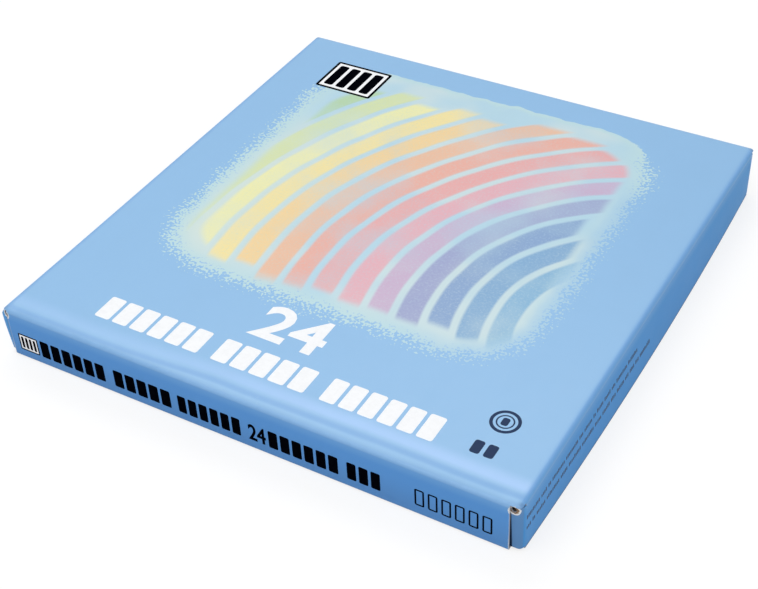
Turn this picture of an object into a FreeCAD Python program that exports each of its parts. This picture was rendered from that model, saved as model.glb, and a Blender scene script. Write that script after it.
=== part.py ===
import FreeCAD, Part

# A flat box of pastel sticks: a lift-off lid of folded board over a tray of folded board, a foam bed
# with a slot for each stick, two rows of square sticks and a loose cover sheet.
# Millimetres. The origin is the middle of the tray's underside: +X runs along the front wall,
# +Y to the back and +Z up.

import os
from typing import NamedTuple, Optional

import Sketcher

# Driving dimensions: each has a cell of the sheet, under this name.
SIZES = {
    "box_width": 195.0,  # lid, outside, at its upper folds, along X
    "box_depth": 205.0,  # lid, outside, along Y
    "box_height": 20.0,  # table to the lid's top
    "board": 0.6,  # thickness of the box board
    "fold_round": 1.5,  # outer radius of a fold
    "roll_pocket": 0.8,  # space inside a rolled wall, which holds the corner tabs
    "tuck_gap": 0.3,  # from the panel to what is tucked in against it
    "corner_bend": 2.4,  # outer radius where a side wall turns into its corner tab
    "corner_gap": 3.3,  # from the corner to the raw end of a rolled wall
    "tab_length": 26.0,  # straight part of a corner tab
    "tab_trim": 1.0,  # how much shorter the tab is than its wall
    "hole_inset": 2.0,  # relief hole's centre from both corner edges
    "hole_radius": 1.0,  # relief hole at each corner of the panel
    "wall_bow": 2.2,  # how far the lid's side walls belly out at their free edge
    "lid_raise": 0.4,  # lid's lower edge above the table
    "fit_gap": 0.5,  # between the lid's walls and the tray's
    "seat_gap": 0.2,  # small vertical play between stacked pieces
    "bed_gap": 0.5,  # between the foam and the tray's walls
    "bed_round": 2.0,  # corner radius of the foam and the cover sheet
    "cover_play": 0.7,  # between the cover sheet and the lid
    "row_margin": 12.5,  # foam between a row's outer end and the bed's edge
    "side_margin": 8.35,  # foam between the last slot of a row and the bed's edge
    "stick_overhang": 8.3,  # how far a stick's inner end reaches into the finger channel
    "slot_play": 0.3,  # around a stick in its slot
    "slot_round": 0.6,  # corner radius of a slot
    "stick_side": 8.3,  # square section of a stick
    "stick_length": 67.0,
    "stick_chamfer": 0.5,  # along a stick's long edges
    "stick_proud": 0.9,  # how far a stick stands out of its slot
    "row_count": 12,  # sticks in a row
    "cover_thickness": 2.2,  # loose foam sheet over the sticks
}
SHEET_NAME = "Sizes"
PARTS_FOLDER = "parts"


class Size:
    """A length kept both as its number and as the sheet formula that gives it."""

    def __init__(self, number, formula):
        self.number = number
        self.formula = formula

    def _joined(self, number, sign, other):
        term = other.formula if isinstance(other, Size) else str(other)
        return Size(number, f"({self.formula} {sign} {term})")

    def __add__(self, other):
        return self._joined(self.number + number_of(other), "+", other)

    def __sub__(self, other):
        return self._joined(self.number - number_of(other), "-", other)

    def __mul__(self, other):
        return self._joined(self.number * number_of(other), "*", other)

    def __truediv__(self, other):
        return self._joined(self.number / number_of(other), "/", other)

    def __neg__(self):
        return self * -1


def number_of(value):
    """The plain number of a Size or of a number."""
    return value.number if isinstance(value, Size) else value


class Sheet:
    """The spreadsheet of driving dimensions; each name is an attribute that gives its Size."""

    def __init__(self, doc):
        cells = doc.addObject("Spreadsheet::Sheet", SHEET_NAME)
        for row, (name, number) in enumerate(SIZES.items(), start=1):
            cells.set(f"A{row}", name)
            cells.set(f"B{row}", str(number))
            cells.setAlias(f"B{row}", name)
            setattr(self, name, Size(number, f"{SHEET_NAME}.{name}"))


# ---- sketches and features, with every size bound to the sheet ----


class Arc(NamedTuple):
    """The round edge that leads to a point; turn is 1 to the left and -1 to the right."""

    centre_x: Size
    centre_y: Size
    radius: Size
    turn: int


class Point(NamedTuple):
    """A point of an outline, reached by a straight edge, or by its arc."""

    x: Size
    y: Size
    arc: Optional[Arc] = None


class Disc(NamedTuple):
    """A round hole in a sketch."""

    x: Size
    y: Size
    radius: Size


def flipped(point, flip_x, flip_y):
    """A point turned over across one axis or both; a flip is 1 or -1."""
    arc = point.arc
    if arc:
        turn = arc.turn * flip_x * flip_y
        arc = Arc(arc.centre_x * flip_x, arc.centre_y * flip_y, arc.radius, turn)
    return Point(point.x * flip_x, point.y * flip_y, arc)


def both_halves(half):
    """Close a right half, drawn from the lower middle to the upper middle, with its mirror image."""
    left = []
    for index, point in enumerate(half):
        arc = half[index + 1].arc if index + 1 < len(half) else None
        if arc:
            arc = Arc(-arc.centre_x, arc.centre_y, arc.radius, arc.turn)
        left.append(Point(-point.x, point.y, arc))
    return half + left[::-1]


def rectangle(half_x, half_y):
    """A rectangle about the origin."""
    return [Point(half_x * a, half_y * b) for a, b in ((-1, -1), (1, -1), (1, 1), (-1, 1))]


def round_rectangle(low_x, low_y, high_x, high_y, radius):
    """A rectangle with four equal round corners."""
    left, right = low_x + radius, high_x - radius
    front, rear = low_y + radius, high_y - radius
    return [
        Point(right, low_y),
        Point(high_x, front, Arc(right, front, radius, 1)),
        Point(high_x, rear),
        Point(right, high_y, Arc(right, rear, radius, 1)),
        Point(left, high_y),
        Point(low_x, rear, Arc(left, rear, radius, 1)),
        Point(low_x, front),
        Point(left, low_y, Arc(left, front, radius, 1)),
    ]


def draw_edge(sketch, start, end):
    """Draw the edge between two points; gives its number and the handles of its start and end."""
    first = FreeCAD.Vector(start.x.number, start.y.number, 0)
    last = FreeCAD.Vector(end.x.number, end.y.number, 0)
    if not end.arc:
        return sketch.addGeometry(Part.LineSegment(first, last), False), 1, 2
    centre_x, centre_y, radius, turn = end.arc
    centre = FreeCAD.Vector(centre_x.number, centre_y.number, 0)
    circle = Part.Circle(centre, FreeCAD.Vector(0, 0, 1), radius.number)
    if turn < 0:
        first, last = last, first
    arc = Part.ArcOfCircle(circle, circle.parameter(first), circle.parameter(last))
    edge = sketch.addGeometry(arc, False)
    constrain(sketch, radius, "Radius", edge)
    return (edge, 1, 2) if turn > 0 else (edge, 2, 1)


def draw_disc(sketch, disc):
    """Draw a whole circle."""
    centre = FreeCAD.Vector(disc.x.number, disc.y.number, 0)
    circle = Part.Circle(centre, FreeCAD.Vector(0, 0, 1), disc.radius.number)
    edge = sketch.addGeometry(circle, False)
    constrain(sketch, disc.radius, "Radius", edge)
    constrain(sketch, disc.x, "DistanceX", -1, 1, edge, 3)
    constrain(sketch, disc.y, "DistanceY", -1, 1, edge, 3)


def constrain(sketch, size, kind, *handles):
    """Add a dimension to a sketch and bind it to the sheet."""
    number = sketch.addConstraint(Sketcher.Constraint(kind, *handles, size.number))
    sketch.setExpression(f"Constraints[{number}]", size.formula)


def sketch_of(body, name, plane, outlines=(), offset=None, discs=()):
    """A sketch of closed outlines and discs on one of the body's own planes, all of it bound."""
    sketch = body.newObject("Sketcher::SketchObject", name)
    carrier = [feature for feature in body.Origin.OriginFeatures if feature.Role == plane][0]
    sketch.AttachmentSupport = [(carrier, "")]
    sketch.MapMode = "FlatFace"
    if offset:
        bind(sketch, AttachmentOffset__Base__z=offset)
    for outline in outlines:
        edges = [draw_edge(sketch, outline[i - 1], point) for i, point in enumerate(outline)]
        for index, (edge, _, end_handle) in enumerate(edges):
            following, start_handle, _ = edges[(index + 1) % len(edges)]
            joint = Sketcher.Constraint("Coincident", edge, end_handle, following, start_handle)
            sketch.addConstraint(joint)
            constrain(sketch, outline[index].x, "DistanceX", -1, 1, edge, end_handle)
            constrain(sketch, outline[index].y, "DistanceY", -1, 1, edge, end_handle)
    for disc in discs:
        draw_disc(sketch, disc)
    return sketch


def bind(feature, **sizes):
    """Bind properties to the sheet; a double underscore in a name stands for a dot."""
    for name, size in sizes.items():
        feature.setExpression(name.replace("__", "."), size.formula)


def new_body(doc, label):
    """A body whose label is the name of its piece."""
    body = doc.addObject("PartDesign::Body", label)
    body.Label = label
    return body


def pad(body, name, sketch, length, midplane=False):
    """Raise a sketch into a solid."""
    feature = body.newObject("PartDesign::Pad", name)
    feature.Profile = sketch
    feature.Midplane = midplane
    bind(feature, Length=length)
    return feature


def cut_through(body, name, sketch):
    """Cut a sketch through all that the body has so far."""
    feature = body.newObject("PartDesign::Pocket", name)
    feature.Profile = sketch
    feature.Type = "ThroughAll"
    feature.Midplane = True
    return feature


# ---- folded board ----


class FoldedTray:
    """An open tray folded from one blank of board, drawn standing on its panel.

    The walls along X are rolled: doubled back over themselves, with a pocket between. The side
    walls along Y are single, and send a tab round each corner into that pocket.
    """

    def __init__(self, s, width, depth, wall_height, bow=None):
        self.s = s
        self.half_width = width / 2
        self.half_depth = depth / 2
        self.wall_height = wall_height
        self.bow = bow
        slip = (s.roll_pocket - s.board) / 2
        self.tab_face = self.half_depth - s.board - slip
        self.side_reach = self.tab_face - s.corner_bend

    def fold_points(self, half_extent):
        """The outer and the inner edge of a fold between the panel and a wall."""
        s = self.s
        centre = half_extent - s.fold_round
        outer = Point(half_extent, s.fold_round, Arc(centre, s.fold_round, s.fold_round, 1))
        inner_radius = s.fold_round - s.board
        inner = Point(centre, s.board, Arc(centre, s.fold_round, inner_radius, -1))
        return Point(centre, s.board * 0), outer, inner

    def rolled_section(self):
        """The section across the panel and both rolled walls."""
        s, outer_face = self.s, self.half_depth
        start, outer_fold, inner_fold = self.fold_points(outer_face)
        roll = s.board + s.roll_pocket / 2
        roll_centre, roll_base = outer_face - roll, self.wall_height - roll
        inner_face = outer_face - roll * 2
        tucked_end = s.board + s.tuck_gap
        crest = self.wall_height
        around = Arc(roll_centre, roll_base, roll, 1)
        within = Arc(roll_centre, roll_base, s.roll_pocket / 2, -1)
        return both_halves([
            start,
            outer_fold,
            Point(outer_face, roll_base),
            Point(roll_centre, crest, around),
            Point(inner_face, roll_base, around),
            Point(inner_face, tucked_end),
            Point(inner_face + s.board, tucked_end),
            Point(inner_face + s.board, roll_base),
            Point(roll_centre, crest - s.board, within),
            Point(outer_face - s.board, roll_base, within),
            Point(outer_face - s.board, s.fold_round),
            inner_fold,
        ])

    def side_section(self):
        """The section across the panel and the folds of the side walls."""
        start, outer_fold, inner_fold = self.fold_points(self.half_width)
        wall_inner = Point(self.half_width - self.s.board, self.s.fold_round)
        return both_halves([start, outer_fold, wall_inner, inner_fold])

    def side_strip(self, side, bow):
        """A side wall cut across at one height: straight, or bellied out by bow."""
        board = self.s.board
        outer, inner, reach = self.half_width, self.half_width - board, self.side_reach
        outer_arc = inner_arc = None
        if bow:
            radius = (reach * reach + bow * bow) / (bow * 2)
            centre = outer + bow - radius
            outer_arc = Arc(centre, board * 0, radius, 1)
            inner_arc = Arc(centre - board, board * 0, radius, -1)
        strip = [
            Point(inner, -reach, inner_arc),
            Point(outer, -reach),
            Point(outer, reach, outer_arc),
            Point(inner, reach),
        ]
        return [flipped(point, side, 1) for point in strip]

    def corner_tab(self, flip_x, flip_y):
        """The strip that a side wall sends round a corner into the rolled wall."""
        s = self.s
        bend_x, bend_y = self.half_width - s.corner_bend, self.side_reach
        tab_end = bend_x - s.tab_length
        tab_inner = self.tab_face - s.board
        inner_radius = s.corner_bend - s.board
        strip = [
            Point(self.half_width, bend_y),
            Point(bend_x, self.tab_face, Arc(bend_x, bend_y, s.corner_bend, 1)),
            Point(tab_end, self.tab_face),
            Point(tab_end, tab_inner),
            Point(bend_x, tab_inner),
            Point(self.half_width - s.board, bend_y, Arc(bend_x, bend_y, inner_radius, -1)),
        ]
        return [flipped(point, flip_x, flip_y) for point in strip]

    def relief_hole(self, flip_x, flip_y):
        """The small round hole in the panel where two folds meet."""
        s = self.s
        x, y = self.half_width - s.hole_inset, self.half_depth - s.hole_inset
        return Disc(x * flip_x, y * flip_y, s.hole_radius)

    def build(self, doc, label):
        """Make the tray's body."""
        s = self.s
        corners = [(flip_x, flip_y) for flip_x in (-1, 1) for flip_y in (-1, 1)]
        body = new_body(doc, label)

        flat = rectangle(self.half_width - s.fold_round, self.half_depth - s.fold_round)
        panel = sketch_of(body, f"{label}_panel_outline", "XY_Plane", [flat])
        pad(body, f"{label}_panel", panel, s.board)
        holes = [self.relief_hole(*flips) for flips in corners]
        relief = sketch_of(body, f"{label}_relief_outline", "XY_Plane", discs=holes)
        cut_through(body, f"{label}_relief_holes", relief)

        rolled = sketch_of(body, f"{label}_rolled_outline", "YZ_Plane", [self.rolled_section()])
        rolled_length = (self.half_width - s.corner_gap) * 2
        pad(body, f"{label}_rolled_walls", rolled, rolled_length, midplane=True)
        folds = sketch_of(body, f"{label}_fold_outline", "XZ_Plane", [self.side_section()])
        pad(body, f"{label}_side_folds", folds, self.side_reach * 2, midplane=True)

        for side, name in ((-1, "left"), (1, "right")):
            strips = [
                sketch_of(body, f"{label}_{name}_{level}", "XY_Plane", [strip], height)
                for level, strip, height in (
                    ("fold_line", self.side_strip(side, None), s.fold_round),
                    ("free_edge", self.side_strip(side, self.bow), self.wall_height),
                )
            ]
            wall = body.newObject("PartDesign::AdditiveLoft", f"{label}_{name}_wall")
            wall.Profile = strips[0]
            wall.Sections = [strips[1]]
            wall.Ruled = True

        tucked_end = s.board + s.tuck_gap
        tabs = [self.corner_tab(*flips) for flips in corners]
        tab_sketch = sketch_of(body, f"{label}_tab_outline", "XY_Plane", tabs, tucked_end)
        pad(body, f"{label}_tabs", tab_sketch, self.wall_height - s.tab_trim - tucked_end)
        return body


def build_lid(doc, s):
    """The lid: a tray turned over, whose side walls belly out at their free edge."""
    wall_height = s.box_height - s.lid_raise
    lid = FoldedTray(s, s.box_width, s.box_depth, wall_height, s.wall_bow).build(doc, "lid")
    lid.Placement.Rotation = FreeCAD.Rotation(FreeCAD.Vector(1, 0, 0), 180)
    bind(lid, Placement__Base__z=s.box_height)
    return lid


# ---- foam ----


class Bed:
    """Where the foam and the sticks lie in the tray."""

    def __init__(self, s, tray):
        rolled_wall = s.board * 2 + s.roll_pocket
        self.s = s
        self.half_width = tray.half_width - s.board - s.bed_gap
        self.half_depth = tray.half_depth - rolled_wall - s.bed_gap
        self.cover_base = s.box_height - s.board - s.cover_play - s.cover_thickness
        self.stick_base = self.cover_base - s.seat_gap - s.stick_side
        self.slot_floor = self.stick_base - s.seat_gap
        self.slot_depth = s.seat_gap + s.stick_side - s.stick_proud
        self.backing_base = s.board + s.seat_gap
        self.backing_height = self.slot_floor - self.backing_base
        self.half_slot = s.stick_side / 2 + s.slot_play
        self.last_stick = self.half_width - s.side_margin - self.half_slot
        self.stick_pitch = self.last_stick * 2 / (s.row_count - 1)
        self.row_end = self.half_depth - s.row_margin
        self.stick_end = self.row_end - s.slot_play
        self.half_channel = self.stick_end - s.stick_length + s.stick_overhang

    def sheet_outline(self):
        """The plan of a whole layer of foam."""
        x, y = self.half_width, self.half_depth
        return round_rectangle(-x, -y, x, y, self.s.bed_round)

    def slot_outline(self, row_side):
        """The first slot of a row, from its outer end into the finger channel."""
        left = -self.last_stick - self.half_slot
        right = -self.last_stick + self.half_slot
        inner_end = self.half_channel - self.s.slot_round
        ends = (inner_end, self.row_end) if row_side > 0 else (-self.row_end, -inner_end)
        return round_rectangle(left, ends[0], right, ends[1], self.s.slot_round)

    def channel_outline(self):
        """The finger channel, as wide as a row of slots."""
        x, y = self.last_stick + self.half_slot, self.half_channel
        return round_rectangle(-x, -y, x, y, self.s.slot_round)


def build_layer(doc, label, bed, base, height):
    """A plain layer of foam that fills the tray."""
    body = new_body(doc, label)
    outline = sketch_of(body, f"{label}_outline", "XY_Plane", [bed.sheet_outline()])
    pad(body, f"{label}_layer", outline, height)
    bind(body, Placement__Base__z=base)
    return body


def build_slot_layer(doc, s, bed):
    """The upper layer of the bed: a slot for each stick, and the finger channel between the rows."""
    body = build_layer(doc, "bed_slots", bed, bed.slot_floor, bed.slot_depth)
    channel = sketch_of(body, "channel_outline", "XY_Plane", [bed.channel_outline()])
    cut_through(body, "finger_channel", channel)
    slots = [bed.slot_outline(row_side) for row_side in (-1, 1)]
    first_slots = sketch_of(body, "first_slots_outline", "XY_Plane", slots)
    cut = cut_through(body, "first_slots", first_slots)
    doc.recompute()
    pattern = body.newObject("PartDesign::LinearPattern", "slot_rows")
    pattern.Originals = [cut]
    pattern.Direction = (first_slots, ["H_Axis"])
    bind(pattern, Length=bed.last_stick * 2, Occurrences=s.row_count)
    body.Tip = pattern
    return body


# ---- sticks ----


def stick_section(s):
    """The square section of a stick, standing on the origin, with its corners taken off."""
    half, chamfer, side = s.stick_side / 2, s.stick_chamfer, s.stick_side
    return both_halves([
        Point(half - chamfer, chamfer * 0),
        Point(half, chamfer),
        Point(half, side - chamfer),
        Point(half - chamfer, side),
    ])


def build_stick(doc, s, bed, number, column, row_side):
    """One stick, lying in its slot with its inner end in the finger channel."""
    label = f"stick_{number:02d}"
    body = new_body(doc, label)
    section = sketch_of(body, f"{label}_section", "XZ_Plane", [stick_section(s)])
    pad(body, f"{label}_length", section, s.stick_length, midplane=True)
    bind(
        body,
        Placement__Base__x=bed.stick_pitch * column - bed.last_stick,
        Placement__Base__y=(bed.stick_end - s.stick_length / 2) * row_side,
        Placement__Base__z=bed.stick_base,
    )
    return body


def build_sticks(doc, s, bed):
    """Both rows of sticks, numbered from the left of the front row."""
    columns = int(s.row_count.number)
    return [
        build_stick(doc, s, bed, 1 + column + row * columns, column, row_side)
        for row, row_side in enumerate((-1, 1))
        for column in range(columns)
    ]


# ---- the whole box ----


def build_box(doc):
    """Every piece of the box, each at its place."""
    s = Sheet(doc)
    doc.recompute()
    tray_width = s.box_width - (s.board + s.fit_gap) * 2
    tray_depth = s.box_depth - (s.board * 2 + s.roll_pocket + s.fit_gap) * 2
    tray = FoldedTray(s, tray_width, tray_depth, s.box_height - s.board - s.seat_gap)
    bed = Bed(s, tray)
    return [
        build_lid(doc, s),
        tray.build(doc, "base_tray"),
        build_layer(doc, "bed_backing", bed, bed.backing_base, bed.backing_height),
        build_slot_layer(doc, s, bed),
        build_layer(doc, "cover_sheet", bed, bed.cover_base, s.cover_thickness),
        *build_sticks(doc, s, bed),
    ]


def check(doc, pieces):
    """Stop if a feature failed, or if a piece has no valid solid."""
    for feature in doc.Objects:
        if "Invalid" in feature.State or "Error" in feature.State:
            raise RuntimeError(f"{feature.Name} failed: {feature.State}")
    for piece in pieces:
        if piece.Shape.isNull() or not piece.Shape.isValid() or len(piece.Shape.Solids) != 1:
            raise RuntimeError(f"{piece.Label} has no single valid solid")


def main():
    """Build the box, check it and write each piece to its own file."""
    doc = FreeCAD.newDocument("pastel_box")
    pieces = build_box(doc)
    doc.recompute()
    check(doc, pieces)
    os.makedirs(PARTS_FOLDER, exist_ok=True)
    for piece in pieces:
        piece.Shape.exportStep(os.path.join(PARTS_FOLDER, f"{piece.Label}.step"))
        bounds = piece.Shape.BoundBox
        print(
            f"{piece.Label}: volume {piece.Shape.Volume:.1f}, "
            f"x {bounds.XMin:.2f} to {bounds.XMax:.2f}, y {bounds.YMin:.2f} to {bounds.YMax:.2f}, "
            f"z {bounds.ZMin:.2f} to {bounds.ZMax:.2f}"
        )


main()
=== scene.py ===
"""The pastel stick box: a lift-off lid over a tray, with a foam bed, a cover sheet and 24 sticks."""

import logging
import math
import random
from contextlib import contextmanager
from dataclasses import dataclass, field
from enum import Enum
from typing import Callable, Iterator, NamedTuple, Optional, Sequence, Union

import bmesh
import bpy
from mathutils import Matrix, Vector, noise


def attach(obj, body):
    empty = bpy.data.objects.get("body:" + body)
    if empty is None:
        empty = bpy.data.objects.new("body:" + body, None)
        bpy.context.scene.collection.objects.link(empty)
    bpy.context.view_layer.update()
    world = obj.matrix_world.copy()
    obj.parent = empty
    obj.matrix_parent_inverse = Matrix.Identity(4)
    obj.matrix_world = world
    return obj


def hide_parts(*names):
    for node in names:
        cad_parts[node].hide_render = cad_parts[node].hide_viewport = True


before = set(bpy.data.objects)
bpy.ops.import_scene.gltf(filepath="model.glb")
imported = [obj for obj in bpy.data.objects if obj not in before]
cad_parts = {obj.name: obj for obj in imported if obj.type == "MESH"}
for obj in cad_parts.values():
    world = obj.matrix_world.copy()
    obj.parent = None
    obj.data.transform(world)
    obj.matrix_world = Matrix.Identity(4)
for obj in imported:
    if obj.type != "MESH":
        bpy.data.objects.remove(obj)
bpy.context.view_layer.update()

LOG = logging.getLogger("pastel_box")

MM = 0.001  # a millimetre, in metres
NEAR = 0.02  # how far apart two places may lie and still count as one, in millimetres
QUARTER_TURN = math.pi / 2
HALF_TURN = math.pi
BOARD_CREASE = 38.0  # edges of board that are sharper than this, in degrees, stay crisp
SOFT_CREASE = 50.0  # the same for foam and chalk

Colour = tuple[float, float, float]
Span = tuple[float, float]
Where = Callable[[Vector], bool]
Share = Callable[[Vector], float]


def paint(red: int, green: int, blue: int) -> Colour:
    """Turn a paint-chart colour into the linear one that the shaders read.

    Args:
        red: Red, from 0 to 255.
        green: Green, from 0 to 255.
        blue: Blue, from 0 to 255.

    Returns:
        The linear colour.
    """

    def linear(level: int) -> float:
        """One channel."""
        share = level / 255
        return share / 12.92 if share <= 0.04045 else ((share + 0.055) / 1.055) ** 2.4

    return linear(red), linear(green), linear(blue)


def toned(colour: Colour, share: float, lift: float = 0.0) -> Colour:
    """A colour with every channel scaled and then lifted."""
    return tuple(level * share + lift for level in colour)


def eased(share: float) -> float:
    """A share from 0 to 1, eased in and out."""
    held = min(max(share, 0.0), 1.0)
    return held * held * (3 - 2 * held)


def rippled(place: Vector, lengths: Span, layer: float) -> float:
    """A slow noise from 0 to 1, by the lengths of its ripples along X and Y."""
    return 0.5 + 0.5 * noise.noise(Vector((place.x / lengths[0], place.y / lengths[1], layer)))


# ---- the bench: shaping pieces with Blender's own tools ----


class Pick(Enum):
    """What a selection on the bench takes hold of."""

    VERTS = "VERT"
    EDGES = "EDGE"
    FACES = "FACE"


class Workpiece:
    """A mesh on the bench. Its methods take millimetres."""

    def __init__(self, obj: bpy.types.Object) -> None:
        """Take up an object."""
        self.obj = obj

    @staticmethod
    def lay_down_tools() -> None:
        """Deselect everything."""
        bpy.ops.object.select_all(action="DESELECT")

    @classmethod
    def _new(cls, name: str, size: Sequence[float]) -> "Workpiece":
        """Name the new primitive and give it its size.

        Args:
            name: The piece's name.
            size: Its lengths along X, Y and Z.

        Returns:
            The piece.
        """
        obj = bpy.context.object
        obj.name = obj.data.name = name
        bpy.ops.transform.resize(value=size)
        bpy.ops.object.transform_apply(location=True, rotation=True, scale=True)
        return cls(obj)

    @classmethod
    def plate(cls, name: str, size: Sequence[float], at: Sequence[float]) -> "Workpiece":
        """Start from a flat plate facing up.

        Args:
            name: The piece's name.
            size: Its lengths along X and Y.
            at: Its middle.

        Returns:
            The piece.
        """
        cls.lay_down_tools()
        bpy.ops.mesh.primitive_plane_add(size=MM, location=Vector(at) * MM)
        return cls._new(name, (size[0], size[1], 1))

    @classmethod
    def block(cls, name: str, low: Sequence[float], high: Sequence[float]) -> "Workpiece":
        """Start from a square-edged block.

        Args:
            name: The piece's name.
            low: Its lowest corner.
            high: Its highest corner.

        Returns:
            The piece.
        """
        cls.lay_down_tools()
        middle = (Vector(low) + Vector(high)) / 2
        bpy.ops.mesh.primitive_cube_add(size=MM, location=middle * MM)
        return cls._new(name, Vector(high) - Vector(low))

    @classmethod
    def drum(
        cls, name: str, radius: float, height: float, at: Sequence[float], sides: int
    ) -> "Workpiece":
        """Start from an upright drum.

        Args:
            name: The piece's name.
            radius: Its radius.
            height: Its height.
            at: Its middle.
            sides: How many sides it has.

        Returns:
            The piece.
        """
        cls.lay_down_tools()
        bpy.ops.mesh.primitive_cylinder_add(
            vertices=sides, radius=radius * MM, depth=height * MM, location=Vector(at) * MM
        )
        return cls._new(name, (1, 1, 1))

    @classmethod
    def disc(cls, name: str, radius: float, at: Sequence[float], sides: int) -> "Workpiece":
        """Start from a flat disc facing up.

        Args:
            name: The piece's name.
            radius: Its radius.
            at: Its middle.
            sides: How many sides it has.

        Returns:
            The piece.
        """
        cls.lay_down_tools()
        bpy.ops.mesh.primitive_circle_add(
            vertices=sides, radius=radius * MM, fill_type="NGON", location=Vector(at) * MM
        )
        return cls._new(name, (1, 1, 1))

    def hold(self) -> None:
        """Make this the one piece that operators act on."""
        self.lay_down_tools()
        self.obj.select_set(True)
        bpy.context.view_layer.objects.active = self.obj

    @contextmanager
    def shaping(self) -> Iterator["Workpiece"]:
        """Work in edit mode.

        Yields:
            The piece.
        """
        self.hold()
        bpy.ops.object.mode_set(mode="EDIT")
        yield self
        bpy.ops.object.mode_set(mode="OBJECT")

    def pick(self, kind: Pick, where: Where) -> int:
        """Select what lies in a place.

        Args:
            kind: Vertices, edges or faces.
            where: The test of a place. An edge is picked by both ends, a face by its middle.

        Returns:
            How many were picked.
        """
        bpy.ops.mesh.select_mode(type=kind.value)
        bpy.ops.mesh.select_all(action="DESELECT")
        mesh = bmesh.from_edit_mesh(self.obj.data)
        if kind is Pick.VERTS:
            found = [v for v in mesh.verts if where(v.co / MM)]
        elif kind is Pick.EDGES:
            found = [e for e in mesh.edges if all(where(v.co / MM) for v in e.verts)]
        else:
            found = [f for f in mesh.faces if where(f.calc_center_median() / MM)]
        for element in found:
            element.select_set(True)
        mesh.select_flush_mode()
        bmesh.update_edit_mesh(self.obj.data)
        return len(found)

    @staticmethod
    def pick_all(kind: Pick) -> None:
        """Select the whole mesh."""
        bpy.ops.mesh.select_mode(type=kind.value)
        bpy.ops.mesh.select_all(action="SELECT")

    def score(self, axis: int, places: Sequence[float]) -> None:
        """Cut a row of lines across the mesh, square to an axis.

        Args:
            axis: 0, 1 or 2, for X, Y or Z.
            places: Where the lines lie along the axis.
        """
        normal = tuple(float(i == axis) for i in range(3))
        for place in places:
            self.pick_all(Pick.FACES)
            point = Vector(normal) * place * MM
            bpy.ops.mesh.bisect(plane_co=point, plane_no=normal)

    def extrude(self, by: Sequence[float], steps: int = 1) -> None:
        """Draw out what is selected.

        Args:
            by: How far, along X, Y and Z.
            steps: How many equal steps it takes.
        """
        step = Vector([length / steps for length in by]) * MM
        for _ in range(steps):
            bpy.ops.mesh.extrude_region_move(TRANSFORM_OT_translate={"value": step})

    def turn(self, angle: float, centre: Sequence[float], axis: Sequence[float], steps: int) -> None:
        """Draw out what is selected round an arc.

        Args:
            angle: How far round by the right-hand rule, in radians.
            centre: A point on the arc's axis.
            axis: The axis's direction.
            steps: How many facets the arc has.
        """
        bpy.ops.mesh.spin(
            steps=steps, angle=-angle, center=Vector(centre) * MM, axis=axis, use_auto_merge=False
        )

    def face_outward(self) -> None:
        """Merge doubles and make the faces agree, outward on a closed mesh."""
        self.pick_all(Pick.VERTS)
        bpy.ops.mesh.remove_doubles(threshold=NEAR * MM / 10)
        bpy.ops.mesh.normals_make_consistent(inside=False)

    def finish_with(self, kind: str, **settings: object) -> "Workpiece":
        """Put a modifier on and apply it.

        Args:
            kind: The modifier's type.
            settings: Its settings.

        Returns:
            The piece.
        """
        self.hold()
        modifier = self.obj.modifiers.new(kind.title(), kind)
        for name, value in settings.items():
            setattr(modifier, name, value)
        bpy.ops.object.modifier_apply(modifier=modifier.name)
        return self

    def press(self, axis: str, depth: float, weight: Share) -> "Workpiece":
        """Push the surface along an axis, more in some places than in others.

        Args:
            axis: "X", "Y" or "Z".
            depth: How far the surface moves where the weight is 1.
            weight: The share of the depth at a place, from 0 to 1.

        Returns:
            The piece.
        """
        group = self.obj.vertex_groups.new(name="press")
        for vertex in self.obj.data.vertices:
            share = weight(vertex.co / MM)
            if share > 0:
                group.add([vertex.index], min(share, 1.0), "REPLACE")
        self.finish_with(
            "DISPLACE", direction=axis, strength=depth * MM, mid_level=0, vertex_group=group.name
        )
        self.obj.vertex_groups.clear()
        return self

    def copy(self, name: str, by: Sequence[float] = (0, 0, 0)) -> "Workpiece":
        """Copy the piece, with a mesh of its own.

        Args:
            name: The copy's name.
            by: How far the copy is moved.

        Returns:
            The copy.
        """
        self.hold()
        bpy.ops.object.duplicate()
        twin = Workpiece(bpy.context.object)
        twin.obj.name = twin.obj.data.name = name
        twin.obj.data.transform(Matrix.Translation(Vector(by) * MM))
        return twin

    def join(self, others: Sequence["Workpiece"]) -> "Workpiece":
        """Make this piece and the others one mesh.

        Args:
            others: The others, which are used up.

        Returns:
            The piece.
        """
        self.hold()
        for other in others:
            other.obj.select_set(True)
        bpy.ops.object.join()
        return self

    def smooth(self, degrees: float) -> "Workpiece":
        """Shade smooth, but for sharp edges.

        Args:
            degrees: The angle above which an edge stays crisp.

        Returns:
            The piece.
        """
        self.hold()
        bpy.ops.object.shade_smooth_by_angle(angle=math.radians(degrees))
        return self

    def dress(self, *materials: bpy.types.Material) -> "Workpiece":
        """Give the piece its materials.

        Args:
            materials: The materials, in the order of its faces' material numbers.

        Returns:
            The piece.
        """
        slots = self.obj.data.materials
        while len(slots) < len(materials):
            slots.append(None)
        for number, material in enumerate(materials):
            slots[number] = material
        return self

    def fit(self, body: str, slot: str, *nodes: str) -> "Workpiece":
        """Fit the piece into the frame.

        Args:
            body: The CAD body that it rides on.
            slot: The record's material slot. It is not used.
            nodes: The CAD nodes that it stands for.

        Returns:
            The piece.
        """
        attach(self.obj, body)
        if nodes:
            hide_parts(*nodes)
        faces = len(self.obj.data.polygons)
        LOG.info("%s: %d faces, rides on %s", self.obj.name, faces, body)
        return self


# ---- the paint shop: finishes from nodes ----


Amount = Union["Grade", float]


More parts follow.
